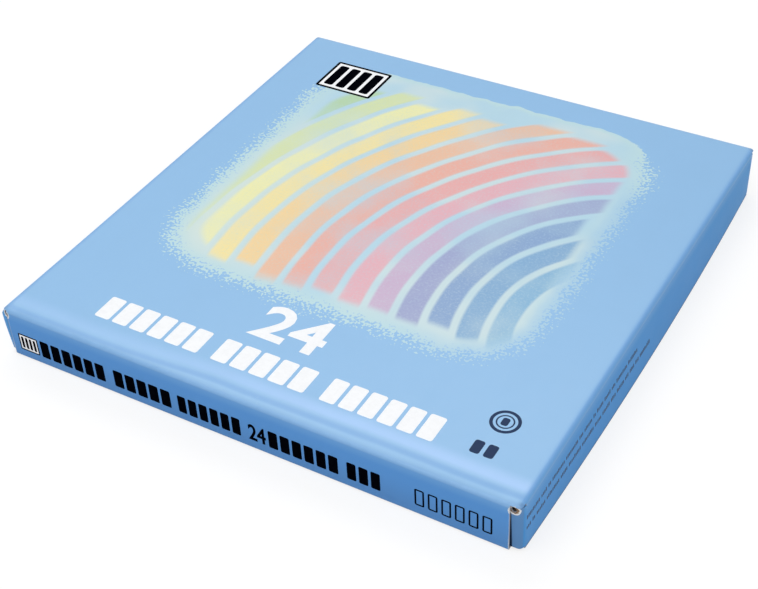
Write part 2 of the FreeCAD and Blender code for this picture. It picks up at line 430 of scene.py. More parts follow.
class Grade:
    """A number that varies over a surface or by ray, kept as a socket in a node tree."""

    def __init__(self, shop: "NodeTable", socket: bpy.types.NodeSocket) -> None:
        """Keep the socket and the table whose nodes it belongs to."""
        self.shop = shop
        self.socket = socket

    def __add__(self, other: Amount) -> "Grade":
        """The sum."""
        return self.shop.math("ADD", self, other)

    def __sub__(self, other: Amount) -> "Grade":
        """The difference."""
        return self.shop.math("SUBTRACT", self, other)

    def __mul__(self, other: Amount) -> "Grade":
        """The product."""
        return self.shop.math("MULTIPLY", self, other)

    def __truediv__(self, other: Amount) -> "Grade":
        """The quotient."""
        return self.shop.math("DIVIDE", self, other)

    def size(self) -> "Grade":
        """The value without its sign."""
        return self.shop.math("ABSOLUTE", self)

    def least(self, other: Amount) -> "Grade":
        """The smaller of two."""
        return self.shop.math("MINIMUM", self, other)

    def most(self, other: Amount) -> "Grade":
        """The larger of two."""
        return self.shop.math("MAXIMUM", self, other)

    def whole(self) -> "Grade":
        """The whole part."""
        return self.shop.math("FLOOR", self)

    def root(self) -> "Grade":
        """The square root."""
        return self.shop.math("SQRT", self)

    def rise(self, low: Amount, high: Amount) -> "Grade":
        """0 below low and 1 above high, eased between.

        Args:
            low: Where the rise starts.
            high: Where it ends.

        Returns:
            The eased share.
        """
        return self.shop.spread(self, low, high, 0.0, 1.0, "SMOOTHSTEP")

    def fall(self, low: Amount, high: Amount) -> "Grade":
        """1 below low and 0 above high, eased between."""
        return self.shop.spread(self, low, high, 1.0, 0.0, "SMOOTHSTEP")

    def scale(self, low: float, high: float) -> "Grade":
        """A share from 0 to 1 stretched to a new range."""
        return self.shop.spread(self, 0.0, 1.0, low, high, "LINEAR")

    def swing(self, reach: float) -> "Grade":
        """A share from 0 to 1 stretched to run from -reach to reach."""
        return self.scale(-reach, reach)


class NodeTable:
    """A node tree and the sums in it."""

    def __init__(self, tree: bpy.types.NodeTree) -> None:
        """Keep the tree."""
        self.tree = tree

    def node(self, kind: str, **settings: object) -> bpy.types.Node:
        """Add a node.

        Args:
            kind: Its type.
            settings: Its settings.

        Returns:
            The node.
        """
        made = self.tree.nodes.new(kind)
        for name, value in settings.items():
            setattr(made, name, value)
        return made

    def feed(self, socket: bpy.types.NodeSocket, value: object) -> None:
        """Link a socket to what feeds it, or set a plain value on it.

        Args:
            socket: The socket.
            value: A grade, a socket, a colour or a number.
        """
        if isinstance(value, Grade):
            value = value.socket
        if isinstance(value, bpy.types.NodeSocket):
            self.tree.links.new(value, socket)
        elif isinstance(value, tuple) and socket.type == "RGBA":
            socket.default_value = (*value, 1.0)
        else:
            socket.default_value = value

    def math(self, operation: str, *values: Amount) -> Grade:
        """Add a Math node.

        Args:
            operation: Its operation.
            values: What goes in.

        Returns:
            What comes out.
        """
        made = self.node("ShaderNodeMath", operation=operation)
        for socket, value in zip(made.inputs, values):
            self.feed(socket, value)
        return Grade(self, made.outputs[0])

    def spread(
        self, value: Amount, low: Amount, high: Amount, to_low: Amount, to_high: Amount, how: str
    ) -> Grade:
        """Stretch a range to another.

        Args:
            value: What is stretched.
            low: The range's start.
            high: The range's end.
            to_low: The new range's start.
            to_high: The new range's end.
            how: Linear, or eased.

        Returns:
            The stretched value.
        """
        made = self.node("ShaderNodeMapRange", interpolation_type=how)
        for socket, part in zip(made.inputs, (value, low, high, to_low, to_high)):
            self.feed(socket, part)
        return Grade(self, made.outputs[0])


class Spot(NamedTuple):
    """A point on a piece: its place, and how far it lies from the middle across and along."""

    x: Grade
    y: Grade
    z: Grade
    side: Grade
    front: Grade


class PaintShop(NodeTable):
    """One material and the sums in its nodes. Lengths are in millimetres."""

    def __init__(self, name: str) -> None:
        """Start a material with a plain Principled shader.

        Args:
            name: The material's name.
        """
        self.material = bpy.data.materials.new(name)
        self.material.use_nodes = True
        super().__init__(self.material.node_tree)
        self.shader = self.tree.nodes["Principled BSDF"]
        self._place = None

    def place(self) -> bpy.types.NodeSocket:
        """The point on the piece, in millimetres.

        Returns:
            Its socket, made once.
        """
        if self._place is None:
            coordinates = self.node("ShaderNodeTexCoord")
            mapping = self.node("ShaderNodeMapping")
            mapping.inputs["Scale"].default_value = (1 / MM,) * 3
            self.tree.links.new(coordinates.outputs["Object"], mapping.inputs["Vector"])
            self._place = mapping.outputs["Vector"]
        return self._place

    def spot(self) -> Spot:
        """The point on the piece, taken apart.

        Returns:
            Its place and its distances from the middle.
        """
        split = self.node("ShaderNodeSeparateXYZ")
        self.tree.links.new(self.place(), split.inputs[0])
        x, y, z = (Grade(self, output) for output in split.outputs)
        return Spot(x, y, z, x.size(), y.size())

    def noise(
        self, grain: float, detail: float = 2.0, rough: float = 0.5, stretch: Sequence[float] = (1, 1, 1)
    ) -> Grade:
        """A cloudy noise from 0 to 1.

        Args:
            grain: The size of its patches.
            detail: How many finer layers it has.
            rough: How strong they are.
            stretch: How far it is pulled along each axis.

        Returns:
            The noise.
        """
        mapping = self.node("ShaderNodeMapping")
        mapping.inputs["Scale"].default_value = tuple(1 / (grain * pull) for pull in stretch)
        self.tree.links.new(self.place(), mapping.inputs["Vector"])
        made = self.node("ShaderNodeTexNoise")
        self.tree.links.new(mapping.outputs[0], made.inputs["Vector"])
        made.inputs["Scale"].default_value = 1.0
        made.inputs["Detail"].default_value = detail
        made.inputs["Roughness"].default_value = rough
        return Grade(self, made.outputs["Fac"])

    def cells(self, grain: float, feature: str = "F1") -> Grade:
        """The distance to the nearest of scattered points.

        Args:
            grain: How far apart the points are.
            feature: Which of the distances.

        Returns:
            The distance, about 0 to 1.
        """
        made = self.node("ShaderNodeTexVoronoi", feature=feature)
        self.tree.links.new(self.place(), made.inputs["Vector"])
        made.inputs["Scale"].default_value = 1 / grain
        return Grade(self, made.outputs["Distance"])

    def blend(self, share: Amount, under: object, over: object, how: str = "MIX") -> Grade:
        """Lay one colour over another.

        Args:
            share: How much of the upper colour shows, from 0 to 1.
            under: The lower colour.
            over: The upper colour.
            how: The blend type.

        Returns:
            The blended colour.
        """
        made = self.node("ShaderNodeMix", data_type="RGBA", blend_type=how)
        self.feed(made.inputs[0], share)
        self.feed(made.inputs[6], under)
        self.feed(made.inputs[7], over)
        return Grade(self, made.outputs[2])

    def grey(self, level: Grade) -> Grade:
        """A grey, from black at 0 to white at 1."""
        return self.blend(level, (0.0, 0.0, 0.0), (1.0, 1.0, 1.0))

    def chart(self, value: Grade, stops: Sequence[tuple[float, Colour]]) -> Grade:
        """Read a colour off a chart.

        Args:
            value: The place on the chart, from 0 to 1.
            stops: The chart's places and colours.

        Returns:
            The colour.
        """
        made = self.node("ShaderNodeValToRGB")
        while len(made.color_ramp.elements) < len(stops):
            made.color_ramp.elements.new(0.5)
        for element, (position, colour) in zip(made.color_ramp.elements, stops):
            element.position = position
            element.color = (*colour, 1.0)
        self.feed(made.inputs[0], value)
        return Grade(self, made.outputs[0])

    def bump(self, height: Grade, depth: float, strength: float = 1.0) -> None:
        """Let a height stand out of the surface.

        Args:
            height: The height, from 0 to 1.
            depth: What a height of 1 stands for.
            strength: How much of it shows.
        """
        made = self.node("ShaderNodeBump")
        made.inputs["Strength"].default_value = strength
        made.inputs["Distance"].default_value = depth * MM
        self.feed(made.inputs["Height"], height)
        self.feed(self.shader.inputs["Normal"], made.outputs[0])

    def finish(self, colour: object, roughness: Amount, gloss: float) -> bpy.types.Material:
        """Set the shader's main values.

        Args:
            colour: The base colour.
            roughness: The roughness.
            gloss: The specular level.

        Returns:
            The material.
        """
        self.feed(self.shader.inputs["Base Color"], colour)
        self.feed(self.shader.inputs["Roughness"], roughness)
        self.shader.inputs["Specular IOR Level"].default_value = gloss
        return self.material


# ---- finishes ----


class Corner(NamedTuple):
    """What shows at a corner of a folded tray: a gap at its rolled wall's end, and a small hole."""

    gap: float
    hole_in: float
    hole_radius: float


@dataclass(frozen=True)
class BoxPlan:
    """The sizes that the board pieces and their print share, in millimetres."""

    width: float = 195.0
    depth: float = 205.0
    height: float = 20.0
    fold_round: float = 1.5
    front_left: Corner = Corner(1.9, 1.25, 1.2)
    front_right: Corner = Corner(3.9, 2.85, 1.0)
    rear: Corner = Corner(3.3, 2.2, 0.5)
    rear_left: Corner = Corner(1.9, 1.1, 0.5)
    rear_right: Corner = Corner(3.9, 2.5, 0.5)
    strip_back: float = 0.7
    strip_top: float = 1.6
    hole_down: float = 2.35
    table_gap: float = 0.08

    @property
    def half_width(self) -> float:
        """From the middle to a side wall."""
        return self.width / 2

    @property
    def half_depth(self) -> float:
        """From the middle to the front wall."""
        return self.depth / 2

    @property
    def strip(self) -> float:
        """From the middle to the strips that turn the corners."""
        return self.half_depth - self.strip_back

    @property
    def fold_level(self) -> float:
        """How high the folds round the lid's top begin."""
        return self.height - self.fold_round


PLAN = BoxPlan()


@dataclass(frozen=True)
class ChalkField:
    """The rubbed-chalk picture on the lid: a pale ground with concentric arcs of soft colour."""

    middle: Span = (-2.6, 15.7)
    half_size: Span = (76.6, 73.4)
    corner: float = 30.0
    arc_centre: Span = (104.0, -24.0)
    arc_pitch: float = 10.6
    arc_range: Span = (32.0, 190.0)
    arc_fade: float = 4.0
    arc_wobble: float = 1.8
    arc_start: Span = (0.05, 0.17)
    arc_end: Span = (0.78, 0.92)
    end_inset: Span = (5.0, 9.0)
    end_spread: float = 9.0
    end_angle: Span = (0.93, 1.12)
    angle_spread: float = 0.3
    chalk: float = 0.92
    raggedness: float = 2.5
    fringe_turns: Span = (72.0, 88.0)
    near_fringe: float = 10.0
    far_fringe: float = 2.4
    fringe_past: float = 1.6
    warmth: float = 0.8
    whiteness: float = 0.8
    faint: float = 0.45
    ground: Colour = paint(178, 214, 231)
    ground_warm: Colour = paint(216, 229, 216)
    ground_white: Colour = paint(205, 224, 226)
    speck: Colour = paint(190, 222, 226)
    dyes: tuple[tuple[float, Colour], ...] = (
        (0.00, paint(132, 190, 222)),
        (0.14, paint(110, 165, 208)),
        (0.28, paint(126, 150, 200)),
        (0.36, paint(196, 170, 205)),
        (0.44, paint(232, 168, 178)),
        (0.54, paint(236, 160, 150)),
        (0.64, paint(238, 186, 148)),
        (0.74, paint(250, 222, 140)),
        (0.84, paint(240, 238, 170)),
        (1.00, paint(160, 205, 160)),
    )

    def edge_distance(self, at: Spot) -> Grade:
        """How far a point lies outside the picture's rounded outline.

        Args:
            at: The point.

        Returns:
            The distance, below 0 inside.
        """
        over_x = (at.x - self.middle[0]).size() - (self.half_size[0] - self.corner)
        over_y = (at.y - self.middle[1]).size() - (self.half_size[1] - self.corner)
        out_x, out_y = over_x.most(0.0), over_y.most(0.0)
        outside = (out_x * out_x + out_y * out_y).root()
        return outside + over_x.most(over_y).least(0.0) - self.corner

    def arcs(self, shop: PaintShop, at: Spot, edge: Grade) -> tuple[Grade, Grade]:
        """The arcs of colour, each ending in a place of its own.

        Args:
            shop: The material in hand.
            at: The point.
            edge: The distance outside the picture's outline.

        Returns:
            How thickly the chalk lies, and its colour.
        """
        away_x, away_y = at.x - self.arc_centre[0], at.y - self.arc_centre[1]
        wobble = shop.noise(34.0, 1.0).swing(self.arc_wobble)
        reach = (away_x * away_x + away_y * away_y).root() + wobble
        turns = reach / self.arc_pitch
        band = turns.whole()
        across = turns - band
        stroke = across.rise(*self.arc_start) * across.fall(*self.arc_end)
        luck = shop.node("ShaderNodeTexWhiteNoise", noise_dimensions="1D")
        shop.feed(luck.inputs["W"], band)
        draw = Grade(shop, luck.outputs["Value"])
        ends = ((edge * -1.0) - draw * self.end_spread).rise(*self.end_inset)
        angle = shop.math("ARCTAN2", away_y, away_x * -1.0)
        top_end = (angle - draw * self.angle_spread).fall(*self.end_angle)
        inner, outer = self.arc_range
        inside = reach.rise(inner, inner + self.arc_fade) * reach.fall(outer - self.arc_fade, outer)
        worn = shop.noise(26.0, 2.0).rise(0.2, 0.62).scale(0.5, 1.0)
        grain = shop.noise(0.9, 3.0, 0.7).rise(0.28, 0.55).scale(0.72, 1.0)
        cover = stroke * ends * top_end * inside * worn * grain
        middle_of_band = (band + 0.5) * self.arc_pitch
        colour = shop.chart(shop.spread(middle_of_band, inner, outer, 0.0, 1.0, "LINEAR"), self.dyes)
        return cover * self.chalk, colour

    def ground_colour(self, shop: PaintShop, at: Spot) -> Grade:
        """The pale ground, warmer near the left and whiter in clouds.

        Args:
            shop: The material in hand.
            at: The point.

        Returns:
            The ground's colour.
        """
        warm = at.x.fall(-70.0, -10.0) * at.y.fall(10.0, 60.0) * self.warmth
        ground = shop.blend(warm, self.ground, self.ground_warm)
        white = shop.noise(38.0, 2.0).rise(0.42, 0.66)
        return shop.blend(white * self.whiteness, ground, self.ground_white)

    def lay(self, shop: PaintShop, blue: object, at: Spot) -> Grade:
        """Lay the picture over the blue print, with a fringe of specks round it.

        Args:
            shop: The material in hand.
            blue: The colour under the picture.
            at: The point.

        Returns:
            The colour with the picture.
        """
        edge = self.edge_distance(at)
        ragged = edge + shop.noise(11.0, 2.0).swing(self.raggedness)
        crisp = at.y.rise(*self.fringe_turns)
        depth = crisp.scale(self.near_fringe, self.far_fringe)
        thick = shop.spread(ragged, depth * -1.0, self.fringe_past, 1.0, 0.0, "LINEAR")
        fleck = shop.spread(shop.noise(1.0, 1.5, 0.5), 0.3, 0.7, 0.03, 0.97, "LINEAR")
        fleck = shop.spread(crisp, 0.0, 1.0, fleck, 0.5, "LINEAR")
        faint = at.x.rise(10.0, 66.0) * at.y.fall(46.0, 66.0) * self.faint
        cover = (thick - fleck).rise(-0.05, 0.09) * shop.math("SUBTRACT", self.chalk, faint)
        haze = shop.spread(ragged, depth * -1.5, depth * -0.45, 1.0, 0.0, "SMOOTHSTEP")
        arcs, dye = self.arcs(shop, at, edge)
        picture = shop.blend(arcs, self.ground_colour(shop, at), dye)
        laid = shop.blend(cover.most(haze), blue, self.speck)
        return shop.blend(haze, laid, picture)


@dataclass(frozen=True)
class PrintedBoard:
    """Thin board with a satin printed face: a paler blue on top than on the walls, partly print and
    partly painted sheen.
    """

    name: str
    gloss: float
    picture: Optional[ChalkField] = None
    # The top's blue is paler than the walls' partly by print and partly as painted sheen.
    top: Colour = paint(138, 187, 230)
    wall: Colour = paint(90, 146, 207)
    wall_high: Colour = paint(91, 152, 218)
    # The side walls' blue is print, with red cut as painted shade against the grazing reflection, cut
    # further towards the far end.
    side_print_and_shade: Colour = paint(70, 150, 218)
    side_far_shade: Colour = paint(46, 146, 215)
    # Colour of the painted shadow in the gaps beside the rolled walls' ends.
    gap_shadow: Colour = paint(14, 26, 52)
    torn: Colour = paint(140, 112, 86)
    bend: Colour = paint(98, 142, 190)
    # The bared board at the foot, also darkened as painted shade under the bottom edge.
    pulp: Colour = paint(84, 92, 104)
    # Pale colour of the folds: wear, with a painted highlight along the front fold.
    crease: Colour = paint(150, 196, 246)
    # Painted shade and sheen by the front fold: the dull line, the band behind it and the fold.
    sheen_break_shade: Colour = paint(112, 165, 220)
    sheen: Colour = paint(162, 202, 247)
    fold_shade: Colour = paint(118, 168, 216)
    paper: Colour = paint(232, 234, 234)
    roughness: float = 0.34
    wall_lift: Span = (2.0, 14.0)
    side_shade_run: Span = (20.0, 100.0)
    # Where and how far the walls are paled into the fold as painted light.
    fold_light_from: float = 14.6
    fold_light_share: float = 0.3
    bend_wear: float = 0.8
    foot_wear_and_shade_share: float = 0.6
    side_crease: float = 0.12
    front_crease: float = 0.6
    shade_line_inset: Span = (2.2, 4.3)
    gap_shadow_width: Span = (0.85, 0.2)
    gap_shadow_share: float = 0.94
    rim_reach: Span = (1.8, 2.05)
    pulp_reach: Span = (1.3, 1.45)
    raggedness: float = 0.55

    def material(self) -> bpy.types.Material:
        """Mix the finish.

        Returns:
            The material.
        """
        shop = PaintShop(self.name)
        at = shop.spot()
        blue = self.blues(shop, at)
        # Pale folds: wear, with a painted highlight along the front fold.
        blue = shop.blend(self.creases(shop, at), blue, self.crease)
        # Painted shadow in the gap beside each rolled wall's end.
        blue = shop.blend(self.painted_gap_shadow(shop, at), blue, self.gap_shadow)
        rim, bared = self.torn_rims(shop, at)
        blue = shop.blend(rim, blue, self.paper)
        blue = shop.blend(bared, blue, self.torn)
        tone = shop.noise(14.0, 3.0).scale(0.975, 1.02)
        colour = shop.blend(1.0, blue, shop.grey(tone), "MULTIPLY")
        fibre = shop.noise(0.5, 3.0, 0.6)
        shop.bump(fibre + rim * 0.6, 0.02, 0.35)
        rough = shop.noise(5.0, 2.0).scale(self.roughness - 0.04, self.roughness + 0.05)
        return shop.finish(colour, rough, self.gloss)

    def blues(self, shop: PaintShop, at: Spot) -> Grade:
        """The print: the top, with its picture where it has one and painted sheen and shade by the front
        fold, and the walls.

        Args:
            shop: The material in hand.
            at: The point.

        Returns:
            The printed colour.
        """
        on_top = at.z.rise(PLAN.fold_level - 0.8, PLAN.height - 0.35)
        on_top = on_top * at.side.fall(PLAN.half_width - 2.8, PLAN.half_width - 0.2)
        blue = shop.blend(on_top, self.walls(shop, at), self.painted_front_sheen_and_shade(shop, at))
        if self.picture:
            blue = shop.blend(on_top, blue, self.picture.lay(shop, blue, at))
        return blue

    def walls(self, shop: PaintShop, at: Spot) -> Grade:
        """The walls: paler upward, paled towards the top's blue into the fold as painted light, the side
        walls' blue partly print and partly painted shade, worn at the strips' bends, and darker at the
        foot by wear and painted shade.

        Args:
            shop: The material in hand.
            at: The point.

        Returns:
            The walls' colour.
        """
        wall = shop.blend(at.z.rise(*self.wall_lift), self.wall, self.wall_high)
        # Painted shade: less red on the side walls, more so towards their far ends.
        side_print_and_shade = shop.blend(at.y.rise(*self.side_shade_run), self.side_print_and_shade, self.side_far_shade)
        wall = shop.blend(at.side.rise(PLAN.half_width - 1.0, PLAN.half_width - 0.1), wall, side_print_and_shade)
        # Painted light: the wall pales towards the top's blue as it rounds into the fold.
        wall = shop.blend(at.z.rise(self.fold_light_from, PLAN.fold_level) * self.fold_light_share, wall, self.top)
        bend = at.side.fall(PLAN.half_width - 0.4, PLAN.half_width - 0.05)
        bend = bend * self.on_strip(at, 2.2)
        wall = shop.blend(bend * self.bend_wear, wall, self.bend)
        # The foot darkens partly by wear and partly as painted shade under the bottom edge.
        foot_wear_and_shade = (at.z + shop.noise(1.6, 3.0, 0.7).swing(0.3)).fall(0.35, 0.7)
        return shop.blend(foot_wear_and_shade * self.foot_wear_and_shade_share, wall, self.pulp)

    @staticmethod
    def on_strip(at: Spot, back: float) -> Grade:
        """1 on the strips that turn the corners, from a distance behind their faces."""
        strip, front = PLAN.strip, at.front
        return front.rise(strip - back, strip - 1.2) * front.fall(strip + 0.2, strip + 0.4)

    def creases(self, shop: PaintShop, at: Spot) -> Grade:
        """Where the folds round the top are pale: worn, and along the front fold a painted highlight as
        well.

        Args:
            shop: The material in hand.
            at: The point.

        Returns:
            How pale they are.
        """
        upper = at.z.rise(PLAN.fold_level - 0.2, PLAN.fold_level + 0.5)
        past_side = at.side.rise(PLAN.half_width - 1.5, PLAN.half_width - 0.8)
        past_front = at.front.rise(PLAN.half_depth - 1.5, PLAN.half_depth - 0.8)
        folds = (past_side * self.side_crease).most(past_front * self.front_crease)
        return folds * upper * shop.noise(3.0, 3.0, 0.65).scale(0.0, 0.6)

    def painted_front_sheen_and_shade(self, shop: PaintShop, at: Spot) -> Grade:
        """Painted light by the front fold: a painted dull line where the sheen breaks, a painted sheen
        band behind it, and painted shade on the fold.

        Args:
            shop: The material in hand.
            at: The point.

        Returns:
            The top's colour.
        """
        inset = at.y + PLAN.half_depth
        line = shop.spread(at.x, -50.0, -5.0, *self.shade_line_inset, "SMOOTHSTEP")
        behind = inset - line + shop.noise(30.0, 1.0).swing(0.6)
        band = behind.rise(1.0, 3.6) * behind.fall(4.0, 9.0)
        sheen = shop.spread(at.x, -60.0, 40.0, 0.35, 0.95, "SMOOTHSTEP")
        # Painted sheen in a band behind the line, stronger to the right.
        blue = shop.blend(band * sheen, self.top, self.sheen)
        dull = behind.rise(-1.5, -0.2) * behind.fall(0.2, 2.0)
        # Painted shade on the line where the sheen breaks.
        blue = shop.blend(dull * 0.7, blue, self.sheen_break_shade)
        # Painted shade on the fold's first few millimetres.
        return shop.blend(inset.fall(0.6, 2.8) * 0.75, blue, self.fold_shade)

    @staticmethod
    def by_corner(shop: PaintShop, at: Spot, left: float, right: float) -> Grade:
        """A size that is one thing at the left corners and another at the right ones."""
        return shop.spread(at.x, -1.0, 1.0, left, right, "LINEAR")

    def past_wall_end(self, shop: PaintShop, at: Spot) -> Grade:
        """How far a point lies past the end of a rolled wall, towards the side wall."""
        gap = self.by_corner(shop, at, PLAN.front_left.gap, PLAN.front_right.gap)
        return at.side - PLAN.half_width + gap

    def painted_gap_shadow(self, shop: PaintShop, at: Spot) -> Grade:
        """Painted shadow: the dark line in the gap beside each rolled wall's end, which widens downward.

        Args:
            shop: The material in hand.
            at: The point.

        Returns:
            How dark the line is.
        """
        from_end = self.past_wall_end(shop, at)
        width = shop.spread(at.z, 1.0, 17.0, *self.gap_shadow_width, "LINEAR")
        line = shop.spread(from_end, width * 0.55, width, 1.0, 0.0, "SMOOTHSTEP")
        return line * self.on_strip(at, 1.6) * at.z.fall(17.2, 18.2) * self.gap_shadow_share

    def torn_rims(self, shop: PaintShop, at: Spot) -> tuple[Grade, Grade]:
        """Where the paper is torn: round the front corner holes and along the walls' cut ends.

        Args:
            shop: The material in hand.
            at: The point.

        Returns:
            How white the paper is, and how far the pulp is bared.
        """
        hole_in = self.by_corner(shop, at, PLAN.front_left.hole_in, PLAN.front_right.hole_in)
        away_x = at.side - PLAN.half_width + hole_in - 0.2
        away_y = at.y + PLAN.strip
        away_z = at.z - (PLAN.height - PLAN.hole_down) + 0.15
        ragged = shop.noise(0.8, 3.0, 0.7).swing(self.raggedness)
        reach = (away_x * away_x + away_y * away_y + away_z * away_z).root() + ragged
        wall_end = self.past_wall_end(shop, at).size() + ragged * 0.3
        low = at.z.fall(1.5, 9.0).scale(0.25, 0.8)
        at_end = wall_end.fall(0.12, 0.3)
        at_end = at_end * at.front.rise(PLAN.half_depth - 0.3, PLAN.half_depth - 0.1)
        return reach.fall(*self.rim_reach).most(at_end * low), reach.fall(*self.pulp_reach)


@dataclass(frozen=True)
class BareBoard:
    """Unprinted board: grey-brown pulp with flecks."""

    name: str
    pulp: Colour
    fleck: Colour
    roughness: float = 0.85

    def material(self) -> bpy.types.Material:
        """Mix the finish.

        Returns:
            The material.
        """
        shop = PaintShop(self.name)
        cloudy = shop.noise(6.0, 4.0, 0.6)
        colour = shop.blend(cloudy.rise(0.3, 0.7), self.pulp, toned(self.pulp, 0.82))
        flecks = shop.noise(0.8, 3.0, 0.7, (3.0, 1.0, 1.0)).rise(0.62, 0.7)
        colour = shop.blend(flecks * 0.5, colour, self.fleck)
        fibre = shop.noise(0.45, 4.0, 0.65, (2.2, 1.0, 1.0))
        shop.bump(fibre, 0.05, 0.5)
        rough = shop.noise(4.0).scale(self.roughness - 0.06, self.roughness + 0.06)
        return shop.finish(colour, rough, 0.3)


@dataclass(frozen=True)
class SoftFoam:
    """Fine open-celled packing foam."""

    name: str
    colour: Colour
    cell: float = 0.7

    def material(self) -> bpy.types.Material:
        """Mix the finish.

        Returns:
            The material.
        """
        shop = PaintShop(self.name)
        # Painted shade in the pores: darker in the pit round each cell point, where the bump sinks.
        pores = shop.cells(self.cell).rise(0.15, 0.6)
        colour = shop.blend(pores, toned(self.colour, 0.72), self.colour)
        dusty = shop.noise(18.0, 3.0).rise(0.35, 0.75)
        tinted = tuple(level * share for level, share in zip(self.colour, (0.95, 0.93, 0.9)))
        colour = shop.blend(dusty * 0.5, colour, tinted)
        shop.bump(pores, 0.18, 0.55)
        rough = shop.noise(3.0).scale(0.86, 0.97)
        return shop.finish(colour, rough, 0.2)


@dataclass(frozen=True)
class PastelChalk:
    """A pressed stick of pigment and chalk, dusty on the faces and paler where it is rubbed."""

    name: str
    pigment: Colour

    def material(self) -> bpy.types.Material:
        """Mix the finish.

        Returns:
            The material.
        """
        shop = PaintShop(f"pastel_{self.name}")
        dust = toned(self.pigment, 0.78, 0.2)
        cloud = shop.noise(7.0, 4.0, 0.62)
        colour = shop.blend(cloud.rise(0.3, 0.72), self.pigment, toned(self.pigment, 0.8))
        specks = shop.noise(0.7, 3.0, 0.75).rise(0.6, 0.74)
        colour = shop.blend(specks * 0.45, colour, dust)
        streak = shop.noise(1.2, 2.0, 0.5, (1.0, 9.0, 1.0)).rise(0.55, 0.75)
        colour = shop.blend(streak * 0.3, colour, dust)
        grain = shop.noise(0.35, 4.0, 0.7)
        shop.bump(grain, 0.09, 0.7)
        rough = shop.noise(2.0).scale(0.88, 0.98)
        return shop.finish(colour, rough, 0.15)


@dataclass(frozen=True)
class PrintInk:
    """Solid ink on the satin board, with the faint mottle of a litho print."""

    name: str
    colour: Colour
    gloss: float = 0.4
    roughness: float = 0.4

    def material(self) -> bpy.types.Material:
        """Mix the finish.

        Returns:
            The material.
        """
        shop = PaintShop(self.name)
        mottle = shop.noise(1.6, 3.0, 0.6).rise(0.35, 0.7)
        colour = shop.blend(mottle, self.colour, toned(self.colour, 0.96, 0.001))
        rough = shop.noise(3.0).scale(self.roughness - 0.04, self.roughness + 0.05)
        shop.bump(shop.noise(0.5, 3.0, 0.6), 0.02, 0.3)
        return shop.finish(colour, rough, self.gloss)


class Finishes:
    """Every finish on the box, mixed once."""

    def __init__(self) -> None:
        """Mix the finishes."""
        self.printed = PrintedBoard("printed_top", 0.5, ChalkField()).material()
        self.printed_wall = PrintedBoard("printed_wall", 0.05).material()
        self.inside = BareBoard("board_inside", paint(206, 204, 198), paint(150, 140, 126)).material()
        self.raw_edge = BareBoard("board_raw_edge", paint(180, 184, 194), paint(120, 104, 86)).material()
        self.plain = BareBoard("board_plain", paint(216, 214, 208), paint(160, 150, 136)).material()
        self.bed = SoftFoam("foam_bed", paint(226, 226, 224)).material()
        self.cover = SoftFoam("foam_cover", paint(236, 236, 234), 0.9).material()
        self.white_ink = PrintInk("ink_white", paint(250, 252, 255)).material()
        self.black_ink = PrintInk("ink_black", paint(2, 3, 9), 0.0).material()
        self.navy_ink = PrintInk("ink_navy", paint(30, 52, 88), 0.1).material()


# ---- board pieces ----


class Skin(Enum):
    """What a face of a folded tray shows, by its material number."""

    OUTSIDE = 0
    INSIDE = 1
    EDGE = 2
    WALL = 3


